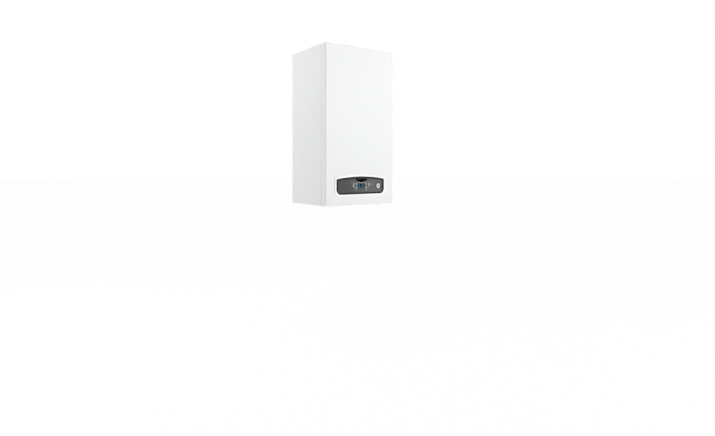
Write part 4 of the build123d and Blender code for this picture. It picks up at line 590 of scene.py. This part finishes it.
def make_clip_tree():
    """Clips and grommets: flat bands of Width and Sheet, their axes upright."""
    tree, source = geometry_tree("hose_clips", {
        "Radius": "Float", "Width": "Float", "Sheet": "Float"})
    ring = add(tree, "GeometryNodeCurvePrimitiveCircle", {
        "Resolution": 40, "Radius": source.outputs["Radius"]})
    section = add(tree, "GeometryNodeCurvePrimitiveQuadrilateral", {
        "Width": source.outputs["Sheet"], "Height": source.outputs["Width"]})
    clip = add(tree, "GeometryNodeCurveToMesh", {
        "Curve": ring.outputs[0], "Profile Curve": section.outputs[0]})
    return set_out(tree, source, clip.outputs[0])


screw_tree = make_screw_tree()
thread_tree = make_thread_tree()
fin_tree = make_fin_tree()
port_tree = make_port_tree()
row_tree = make_row_tree()
clip_tree = make_clip_tree()
FORWARD, DOWN, REARWARD = (PI / 2, 0, 0), (PI, 0, 0), (-PI / 2, 0, 0)


# The pattern screw: a domed head of radius 1 with a cross recess, facing up

HEAD_SECTION = [(0.35, 0.6), (0.7, 0.5), (0.93, 0.3), (1.0, 0.08), (1.0, 0.0)]
HEAD_SIDES = 24
RECESS_WIDTH = 0.22
RECESS_MIDDLE = 0.6
RECESS_HEIGHT = 0.7


def make_screw_pattern():
    shape = bmesh.new()
    angles = [2 * PI * n / HEAD_SIDES for n in range(HEAD_SIDES)]
    rings = [[shape.verts.new((radius * math.cos(a), radius * math.sin(a), height))
              for a in angles] for radius, height in HEAD_SECTION]
    for upper, lower in zip(rings, rings[1:]):
        for n in range(HEAD_SIDES):
            after = (n + 1) % HEAD_SIDES
            shape.faces.new((upper[n], lower[n], lower[after], upper[after]))
    shape.faces.new(rings[0])
    shape.faces.new(rings[-1][::-1])
    screw = link("screw_pattern", close_shape(shape))
    middle = Matrix.Translation((0, 0, RECESS_MIDDLE))
    cutters = []
    for width, depth in ((1.0, RECESS_WIDTH), (RECESS_WIDTH, 1.0)):
        bar = bmesh.new()
        size = Matrix.Diagonal((width, depth, RECESS_HEIGHT, 1))
        bmesh.ops.create_cube(bar, size=1.0, matrix=middle @ size)
        cutters.append(link("recess", close_shape(bar)))
        cut = screw.modifiers.new("recess", "BOOLEAN")
        cut.object = cutters[-1]
        cut.solver = "EXACT"
    finished = finished_mesh(screw)
    for item in cutters + [screw]:
        bpy.data.objects.remove(item)
    return link("screw_pattern", finished)


screw_pattern = make_screw_pattern()


def screws(name, body, points, radius, turn, dome=1.0):
    """Plated screws with a cross recess; dome is the head's share of a full dome's height."""
    repeat(screw_tree, name, body, "plated", points, screw=screw_pattern, turn=turn,
           size=(radius, radius, dome * radius))


# Control panel: the prints on its facing

# The circle whose foot bounds the dark crescent; a fine grey line below it is a painted highlight
# along the bezel's edge.
CRESCENT = (5.1, 163.7)
CRESCENT_RADIUS = 57.0
CRESCENT_HIGHLIGHT_GAP = 4.1
BROW_TOP = 123.2
BROW_BEND = 1630
# Four fine arcs lie round the display's middle, and two broad ones round a point beside it.
FINE_CENTRE = (3.9, 93.5)
FINE_BAND = (44.6, 45.3)
BROAD_CENTRE = (41.0, 93.5)
BROAD_BAND = (7.6, 11.4)


def crescent_outline():
    """The black crescent under the panel's brow."""
    lower = arc_points(CRESCENT, CRESCENT_RADIUS, 222, 138, 31)
    return lower + [(x, BROW_TOP - x * x / BROW_BEND) for x in range(40, -31, -10)]


def tapered_arc(centre, radius, start, end, width, count=32):
    """An arc that is width wide at its middle and comes to points."""
    outer = []
    inner = []
    for n in range(count):
        share = n / (count - 1)
        angle = math.radians(start + (end - start) * share)
        half_width = width / 2 * math.sin(PI * min(max(share, 0.02), 0.98))
        for line, reach in ((outer, radius + half_width), (inner, radius - half_width)):
            line.append((centre[0] + reach * math.sin(angle), centre[1] + reach * math.cos(angle)))
    return outer + inner[::-1]


def symbol_strokes(x, z, size, rows):
    """Strokes of a symbol: each row is two ends and a width, in shares of the size."""
    return [stroke((x + x0 * size, z + z0 * size), (x + x1 * size, z + z1 * size), w * size)
            for x0, z0, x1, z1, w in rows]


def radiator_symbol(x, z, size):
    bars = [(dx, -0.8, dx, 0.8, 0.32) for dx in (-0.9, -0.3, 0.3, 0.9)]
    rails = [(-1.3, dz, 1.3, dz, 0.2) for dz in (-0.5, 0.5)]
    return symbol_strokes(x, z, size, bars + rails)


def tap_symbol(x, z, size):
    body = [(-1.2, 0.3, 0.6, 0.3, 0.5), (0.5, 0.5, 0.5, -0.5, 0.45),
            (-0.4, 0.5, -0.4, 1.1, 0.3), (-0.9, 1.1, 0.1, 1.1, 0.28)]
    drop = disc((x + 0.5 * size, z - size), 0.24 * size, 10)
    return symbol_strokes(x, z, size, body) + [drop]


def sun_symbol(x, z, size):
    rays = [band((x, z), 1.1 * size, 1.5 * size, a, a + 14, 4) for a in range(0, 360, 45)]
    return rays + [disc((x, z), 0.7 * size, 14)]


def make_panel_prints():
    light = [band(BROAD_CENTRE, *BROAD_BAND, start, start + 48, 14) for start in (40, 92)]
    light += radiator_symbol(34.2, 70.8, 2.7) + tap_symbol(-24.6, 71.3, 2.3)
    # The degree ring and the C beside it.
    light += [band((61.3, 96.1), 0.8, 1.5, 0, 359, 16), band((66.4, 93.8), 2.1, 3.0, 230, 490, 18)]
    # The grey line under the crescent: a painted highlight, printed in grey ink.
    grey = [tapered_arc(CRESCENT, CRESCENT_RADIUS + CRESCENT_HIGHLIGHT_GAP, 212, 148, 3.0)]
    for start, end, count in ((232, 252, 14), (108, 128, 14), (288, 306, 12), (54, 72, 12)):
        grey.append(band(FINE_CENTRE, *FINE_BAND, start, end, count))
    grey += sun_symbol(-51.8, 105.8, 1.9)
    # The plus sign below the sun.
    grey += [stroke((-57, 93.2), (-52, 93.2), 0.8), stroke((-54.5, 90.8), (-54.5, 95.6), 0.8)]
    printed("panel_light_print", light, FACING, "overlay_grey", light_ink)
    printed("panel_grey_print", grey, FACING, "overlay_grey", grey_ink)
    printed("panel_dark_brow", [crescent_outline()], FACING, "overlay_grey", black_ink)


# Display: two backlit digits and small symbols behind the window

SEGMENTS = {"6": "acdefg", "0": "abcdef"}
SEGMENT_WIDTH = 0.19
SEGMENT_GAP = 0.2
SLANT = 0.08
DIGIT_MIDDLE = 88.2
DIGIT_HEIGHT = 13.4
WINDOW_CORNERS = [(-15.3, 99.9), (23.1, 99.9), (23.1, 78.7), (-15.3, 78.7)]


def digit_outlines(figure, x, width):
    """Seven-segment strokes round x, on the line that both digits share."""
    w, h, t = width / 2, DIGIT_HEIGHT / 2, width * SEGMENT_WIDTH
    ends = {
        "a": ((-w, h), (w, h)), "g": ((-w, 0), (w, 0)), "d": ((-w, -h), (w, -h)),
        "f": ((-w, h), (-w, 0)), "b": ((w, h), (w, 0)), "e": ((-w, 0), (-w, -h)),
        "c": ((w, 0), (w, -h)),
    }
    outlines = []
    for part in SEGMENTS[figure]:
        start, stop = (Vector(end) for end in ends[part])
        along = (stop - start).normalized()
        across = Vector((-along.y, along.x)) * t / 2
        start += along * t * SEGMENT_GAP
        stop -= along * t * SEGMENT_GAP
        point = along * t / 2
        shape = [start, start + point - across, stop - point - across, stop,
                 stop - point + across, start + point + across]
        outlines.append([(x + p.x + SLANT * p.y, DIGIT_MIDDLE + p.y) for p in shape])
    return outlines


def make_display_prints():
    digits = digit_outlines("6", -7.6, 7.2) + digit_outlines("0", 12.0, 8.2)
    printed("display_digits", digits, GLASS, "display_black", cyan_glow)
    marks = [disc((2.2, z), 0.8, 10) for z in (85.2, 91.0)]
    marks += [stroke((x, 80.6), (x + 3.2, 80.6), 0.9) for x in (-8, -2, 10, 16)]
    marks += [stroke((20.6, z), (20.6, z + 2.2), 0.9) for z in (84, 90, 95)]
    printed("display_symbols", marks, GLASS, "display_black", red_glow)
    edges = [stroke(WINDOW_CORNERS[n], WINDOW_CORNERS[(n + 1) % 4], 0.5) for n in range(4)]
    printed("display_surround_line", edges, FACING, "overlay_grey", black_ink)


# Pressure gauge: a white dial with a scale of 0 to 4 bar, a red zone, and a rolled dark bezel

GAUGE = (106.6, 87.3)
DIAL_RADIUS = 12.1
DIAL_START = -135
BAR_STEP = 67.5
BARS = 4
TICKS_PER_BAR = 5
# A tick's inner radius and half its angle.
LONG_TICK = (9.8, 0.7)
SHORT_TICK = (10.7, 0.3)
TICK_RIM = 11.4
RED_ZONE = (8.4, 9.1)
HUB_RADIUS = 4.2
FIGURE_RADIUS = 6.9
FIGURE_SIZE = 2.4
BEZEL_TOP = FACING - 0.9
BEZEL_SECTION = [
    (12.2, BEZEL_TOP), (12.2, BEZEL_TOP - 0.06), (15.5, BEZEL_TOP - 0.06),
    (15.86, BEZEL_TOP + 0.25), (15.86, FACING), (15.8, FACING), (15.8, BEZEL_TOP)]


def dial_ticks():
    ticks = []
    for n in range(BARS * TICKS_PER_BAR + 1):
        angle = DIAL_START + BAR_STEP * n / TICKS_PER_BAR
        inner, half_angle = SHORT_TICK if n % TICKS_PER_BAR else LONG_TICK
        ticks.append(band(GAUGE, inner, TICK_RIM, angle - half_angle, angle + half_angle, 3))
    return ticks


def dial_figures(face):
    """The figures of the scale, as one mesh of ink on a face."""
    figures = bmesh.new()
    for n in range(BARS + 1):
        text = bpy.data.curves.new("figure", "FONT")
        text.body = str(n)
        text.size = FIGURE_SIZE * MM
        text.align_x = text.align_y = "CENTER"
        text.extrude = PRINT / 2 * MM
        holder = bpy.data.objects.new("figure", text)
        mesh = bpy.data.meshes.new_from_object(holder)
        bpy.data.objects.remove(holder)
        x, z = arc_points(GAUGE, FIGURE_RADIUS, DIAL_START + BAR_STEP * n, 0, 2)[0]
        spot = Matrix.Translation(place(x, face - PRINT / 2, z))
        mesh.transform(spot @ Matrix.Rotation(PI / 2, 4, "X"))
        figures.from_mesh(mesh)
        bpy.data.meshes.remove(mesh)
    bmesh.ops.remove_doubles(figures, verts=figures.verts, dist=1e-7)
    joined = bpy.data.meshes.new("figures")
    figures.to_mesh(joined)
    figures.free()
    return joined


def make_dial_prints():
    printed("gauge_dial_plate", [disc(GAUGE, DIAL_RADIUS, 60)], DIAL, "gauge_case")
    face = DIAL - PRINT
    hub = disc(GAUGE, HUB_RADIUS, 24)
    printed("gauge_ticks", dial_ticks() + [hub], face, "gauge_case", black_ink)
    top = DIAL_START + BARS * BAR_STEP
    red = band(GAUGE, *RED_ZONE, top - BAR_STEP, top, 24)
    printed("gauge_red_zone", [red], face, "gauge_case", red_ink)
    keep(dial_figures(face), "gauge_figures", "control_panel", "gauge_case", black_ink)
    keep(lathe(GAUGE, BEZEL_SECTION), "gauge_bezel", "control_panel", "fascia_dark")


make_panel_prints()
make_display_prints()
make_dial_prints()


# The surround's webs: they round off the opening's lower corners, flush with the bright ring

WEB_FRONT = -312.45
WEB_REAR = FRONT - 0.06
WEB_RADIUS = 25.0
WEB_SEAT = 0.5
OPENING_HALF = 139.8
OPENING_FOOT = 49.7
OPENING_RADIUS = 16.8


def corner_arc(side, radius, seat, start, end):
    """An arc in one lower corner of the opening; seat is how far it reaches into the ring."""
    centre = (side * (OPENING_HALF - radius), OPENING_FOOT + radius)
    return arc_points(centre, radius + seat, start, end, 16)


def make_surround_webs():
    webs = []
    for side in (-1, 1):
        flank = 180 - side * 90
        webs.append(corner_arc(side, WEB_RADIUS, 0, 180, flank)
                    + corner_arc(side, OPENING_RADIUS, WEB_SEAT, flank, 180))
    keep(prisms(webs, WEB_FRONT, WEB_REAR), "surround_corner_webs", "cover", "surround_white")


make_surround_webs()


# Casing and chamber fixings

EXCHANGER_HEIGHT = 525
PLATE_FACE = -287.9


def ring_of_points(centre, radius, count, offset):
    """Points round a line that faces the front, turned by offset of one step."""
    x, y, z = centre
    angles = [2 * PI * (n + offset) / count for n in range(count)]
    return [(x + radius * math.sin(a), y, z + radius * math.cos(a)) for a in angles]


# The cover's screws have almost flat heads.
screws("cover_screw_heads", "cover", product((-120, 120), (-292,), (-1.8,)), 3.7, DOWN, 0.15)
screws("side_panel_screws", "chassis", product((-195, 195), (-50, -140, -230), (0,)), 2.6, DOWN)
screws("fan_motor_screws", "chassis", ring_of_points((-62, -212.1, 256), 43, 3, 0.5), 2.6, FORWARD)
screws("fan_outlet_screws", "chassis", product((-42, 6), (-208.1,), (325.5,)), 2.2, FORWARD)
screws("gas_valve_screws", "chassis", product((63, 105), (-158,), (231, 291)), 2.6, FORWARD)
screws("terminal_box_screws", "chassis", product((111, 157), (-212.1,), (133,)), 2.6, FORWARD)
screws("box_lid_screws", "control_panel", product((-128, 0, 128), (-246.2,), (56, 104)), 2.4,
       REARWARD)
screws("board_screws", "control_panel", product((-126, 68), (-293.2,), (61.5, 117.5)), 2.4, FORWARD)
screws("chamber_ear_screws", "chassis", product((-193, 193), (-271,), (226, 684)), 2.8, FORWARD)
screws("spark_unit_screws", "chassis", product((128,), (-128.1,), (408, 436)), 2.4, FORWARD)
screws("diverter_clip_screws", "chassis", [(-65, -147.3, 126)], 2.2, FORWARD)

# Quarter-turn slots in the chamber screws, as thin black bars across their heads: painted shade for
# the recessed slots.
repeat(row_tree, "chamber_screw_slots", "chamber_lid", "plated",
       product((-125, 125), (-282.44,), (190, 720)), black_ink,
       count=1, step=(1, 0, 0), block=(9.5, 0.2, 1.4))

# The blank data plate inside, with its rivets.
plate_outline = [(-112, 604), (-32, 604), (-32, 652), (-112, 652)]
keep(prisms([plate_outline], PLATE_FACE, PLATE_FACE + 0.5), "chamber_blank_plate",
     "chamber_lid", "chamber_steel", blank_plate)
screws("blank_plate_rivets", "chamber_lid", product((-109, -35), (PLATE_FACE,), (607, 649)),
       1.6, FORWARD)

# Threads on the five connections: about 14 turns an inch, cut on the lowest 9 mm.
for name, places, radius in (
        ("large_pipe_threads", (-130, 0, 130), 13.2), ("small_pipe_threads", (-65, 65), 10.48)):
    repeat(thread_tree, name, "chassis", "brass", product(places, (-120,), (-8.4,)),
           turns=4.8, radius=radius, height=8.4, ridge=0.55)

# Cooling fins of the pump head and the fan motor.
repeat(fin_tree, "pump_motor_fins", "chassis", "motor_black", [(112, -180, 84)],
       count=28, radius=42.3, fin=(3, 1.8, 40), turn=FORWARD)
repeat(fin_tree, "fan_motor_fins", "chassis", "motor_black", [(-62, -233, 256)],
       count=24, radius=40.4, fin=(2, 1.6, 30), turn=FORWARD)

# Flame ports on the burner's cylinder, in front of and between its bands.
for n, y in enumerate((-219, -198, -177, -156)):
    # Each port is a flat disc in painted shade for its hole.
    repeat(port_tree, f"burner_ports_{n}", "chassis", "burner_steel",
           [(0, y, EXCHANGER_HEIGHT)], port_painted_shade,
           columns=54, rows=5, radius=34.06, length=12, port=0.6, turn=FORWARD)

# Clips on the condensate hose and on the vessel's hose.
repeat(clip_tree, "condensate_hose_clips", "chassis", "plated",
       product((34,), (-200,), (148, 408)), radius=11.8, width=8, sheet=0.9)
repeat(clip_tree, "vessel_hose_clip", "chassis", "plated", [(84, -44.8, 278)],
       radius=7.3, width=7, sheet=0.8)

# The board's chips and pins.
repeat(row_tree, "board_chips", "control_panel", "board_green",
       product((-100, 20), (-293.6,), (60,)), chip_epoxy,
       count=4, step=(11, 0, 0), block=(7, 1.2, 5))
repeat(row_tree, "board_pins", "control_panel", "plated", product((-120, -20), (-281,), (59,)),
       count=14, step=(3.8, 0, 0), block=(1.2, 22, 1.2))

# The duct's domed cover over the burner's mouth, cast with it and held by four screws.
mouth_cover = [(9, -250), (36.2, -250), (36.2, -252), (34.6, -253.6), (28, -254.8), (9, -255.6)]
keep(lathe((0, EXCHANGER_HEIGHT), mouth_cover), "mixture_duct_cover", "chassis", "cast_aluminium")
screws("duct_cover_screws", "chassis", product((-28.5, 28.5), (-254.1,), (512, 538)), 2.0, FORWARD)


# Wiring on the chassis: a slotted duct under the chamber's floor, plugs, and leads into the duct

DUCT_HALF = 150
DUCT_FRONT = -262.4
DUCT_REAR = -242
# The duct's walls, as foot and head.
DUCT_WALLS = ((178.4, 181.8), (162.6, 164.8))
# Where the leads pass the chamber's floor and drop into the duct.
DROPS = (-142, 135, 149)
DROP_DEPTH = -252
SUPPLY_RADIUS = 2.6
SPARK_RADIUS = 2.4

walls = [cut_box(-DUCT_HALF, DUCT_HALF, foot, head, 0.5) for foot, head in DUCT_WALLS]
keep(prisms(walls, DUCT_FRONT, DUCT_REAR), "wiring_duct_walls", "chassis", "hose_grey", duct_pvc)
for name, y in (("wiring_duct_front", DUCT_FRONT + 1), ("wiring_duct_rear", DUCT_REAR - 1)):
    repeat(row_tree, name, "chassis", "hose_grey", [(-145, y, 171.6)], duct_pvc,
           count=25, step=(12.08, 0, 0), block=(8.6, 1.4, 14.2))
keep(prisms([cut_box(-115, -100, 245, 267, 2)], -243, -225), "fan_motor_plug", "chassis",
     "black_plastic")
keep(prisms([cut_box(109, 126, 251, 281, 2.5)], -163, -139), "gas_valve_plug", "chassis",
     "black_plastic")
glands = [(-108, -234, 243), (118, -151, 249), (128, -113, 386.5), (134, -180, 147),
          (-65, -118, 140)]
repeat(clip_tree, "lead_glands", "chassis", "black_plastic", glands, radius=3.6, width=8, sheet=2.4)
repeat(clip_tree, "chamber_floor_grommets", "chassis", "hose_grey",
       product(DROPS, (DROP_DEPTH,), (183,)), radius=4.2, width=6.4, sheet=2.6)

supply_leads = {
    "fan_motor_lead": [
        (-108, -234, 246), (-108, -234, 228), (-120, -238, 206), (-138, -248, 204),
        (-142, -252, 196), (-142, -252, 172)],
    "gas_valve_lead": [
        (118, -151, 252), (118, -151, 234), (120, -164, 208), (127, -205, 196),
        (134, -242, 198), (135, -252, 194), (135, -252, 172)],
    "spark_unit_lead": [
        (128, -113, 389), (128, -113, 368), (135, -128, 330), (138, -150, 280),
        (141, -190, 222), (146, -236, 202), (149, -252, 196), (149, -252, 172)],
    "pump_motor_lead": [
        (134, -180, 143), (134, -180, 158), (134, -196, 164), (133, -226, 168),
        (133, -252, 170)],
    "diverter_motor_lead": [
        (-65, -118, 137), (-65, -118, 152), (-66, -140, 160), (-69, -190, 166),
        (-72, -252, 171)],
}
for name, route in supply_leads.items():
    keep(swept_lead(route, SUPPLY_RADIUS), name, "chassis", "hose_grey", lead_pvc)

# Ignition and ionisation leads, from the spark unit to the upper two electrodes.
spark_leads = {
    "spark_lead_1": [
        (113, -113, 390), (113, -114, 376), (116, -160, 366), (112, -225, 400),
        (92, -262, 450), (72, -268, 492), (58, -264, 504), (56, -255, 505)],
    "spark_lead_2": [
        (143, -113, 390), (143, -114, 378), (142, -165, 372), (132, -232, 420),
        (108, -262, 490), (78, -268, 528), (60, -264, 533), (58, -255, 533)],
}
for name, route in spark_leads.items():
    keep(swept_lead(route, SPARK_RADIUS), name, "chassis", "hose_grey", lead_silicone)


# The studio: a pale floor well below the hanging case, even light, and the photograph's view

FLOOR_REACH = 30.0
FLOOR_HEIGHT = -1.25
# How much of the floor is plain white to the camera; the rest takes the shadow.
FLOOR_WHITE = 0.985
AMBIENT = 0.035
# Each lamp's name, place, target, size and watts.
LAMPS = (
    ("front_light", (1.70, -4.17, 0.60), (0, -0.15, -0.34), (3.2, 2.4), 158.0),
    ("side_light", (-2.25, 0.55, 0.42), (-0.2, -0.15, -0.34), (1.6, 1.2), 41.0),
    ("top_light", (0, 0.45, 2.20), (0, -0.1, 0), (0.4, 0.4), 21.0),
)
CAMERA_PLACE = (-1.398, -2.231, -0.532)
CAMERA_HEADING = 35.68
CAMERA_LENS = 25.08
CAMERA_SHIFT = -0.0717


def seen_directly(tree):
    """1 for what the camera sees, also in metal or through glass, and 0 for the light."""
    path = add(tree, "ShaderNodeLightPath")
    direct = add(tree, "ShaderNodeMath", {
        0: path.outputs["Is Camera Ray"], 1: path.outputs["Is Glossy Ray"]},
        operation="MAXIMUM")
    through = add(tree, "ShaderNodeMath", {
        0: direct.outputs[0], 1: path.outputs["Is Transmission Ray"]}, operation="MAXIMUM")
    return through.outputs[0]


def pale_stage(name, colour):
    """Floor paint that is near white to the camera and still takes a soft shadow."""
    material, tree, point = start_material(name)
    cloud = add(tree, "ShaderNodeTexNoise", {"Vector": point, "Scale": 0.7, "Detail": 1.0})
    tone = add(tree, "ShaderNodeMix", {
        SHARE: cloud.outputs["Fac"], FIRST: linear(colour), SECOND: linear("#FFFFFF")},
        data_type="RGBA")
    paint = add(tree, "ShaderNodeBsdfDiffuse", {"Color": tone.outputs[MIXED]})
    white = add(tree, "ShaderNodeEmission", {"Color": linear("#FFFFFF")})
    share = add(tree, "ShaderNodeMath", {
        0: seen_directly(tree), 1: FLOOR_WHITE}, operation="MULTIPLY")
    return close_material(material, add(tree, "ShaderNodeMixShader", {
        0: share.outputs[0], 1: paint.outputs[0], 2: white.outputs[0]}))


def build_floor():
    corners = [(x * FLOOR_REACH, y * FLOOR_REACH, FLOOR_HEIGHT)
               for x, y in ((-1, -1), (1, -1), (1, 1), (-1, 1))]
    mesh = bpy.data.meshes.new("floor")
    mesh.from_pydata(corners, [], [(0, 1, 2, 3)])
    mesh.materials.append(pale_stage("floor_paint", "#F7F7F7"))
    floor = link("floor", mesh)


def build_world():
    world = bpy.data.worlds.new("studio")
    bpy.context.scene.world = world
    world.use_nodes = True
    tree = world.node_tree
    tree.nodes.clear()
    strength = add(tree, "ShaderNodeMapRange", {
        "Value": seen_directly(tree), "To Min": AMBIENT, "To Max": 1.0})
    sky = add(tree, "ShaderNodeBackground", {
        "Color": linear("#FFFFFF"), "Strength": strength.outputs[0]})
    add(tree, "ShaderNodeOutputWorld", {"Surface": sky.outputs[0]})


def build_lamps():
    for name, spot, target, size, power in LAMPS:
        lamp = bpy.data.lights.new(name, "AREA")
        lamp.shape = "RECTANGLE"
        lamp.size, lamp.size_y = size
        lamp.energy = power
        holder = link(name, lamp)
        holder.location = spot
        aim = Vector(target) - Vector(spot)
        holder.rotation_euler = aim.to_track_quat("-Z", "Y").to_euler()


def build_camera():
    lens = bpy.data.cameras.new("camera")
    lens.sensor_width = 36.0
    lens.lens = CAMERA_LENS
    lens.shift_y = CAMERA_SHIFT
    lens.clip_end = 100.0
    camera = link("camera", lens)
    camera.location = CAMERA_PLACE
    camera.rotation_euler = (PI / 2, 0, -math.radians(CAMERA_HEADING))
    bpy.context.scene.camera = camera
    bpy.context.scene.view_settings.view_transform = "Standard"


build_floor()
build_world()
build_lamps()
build_camera()

bpy.data.objects.remove(screw_pattern)
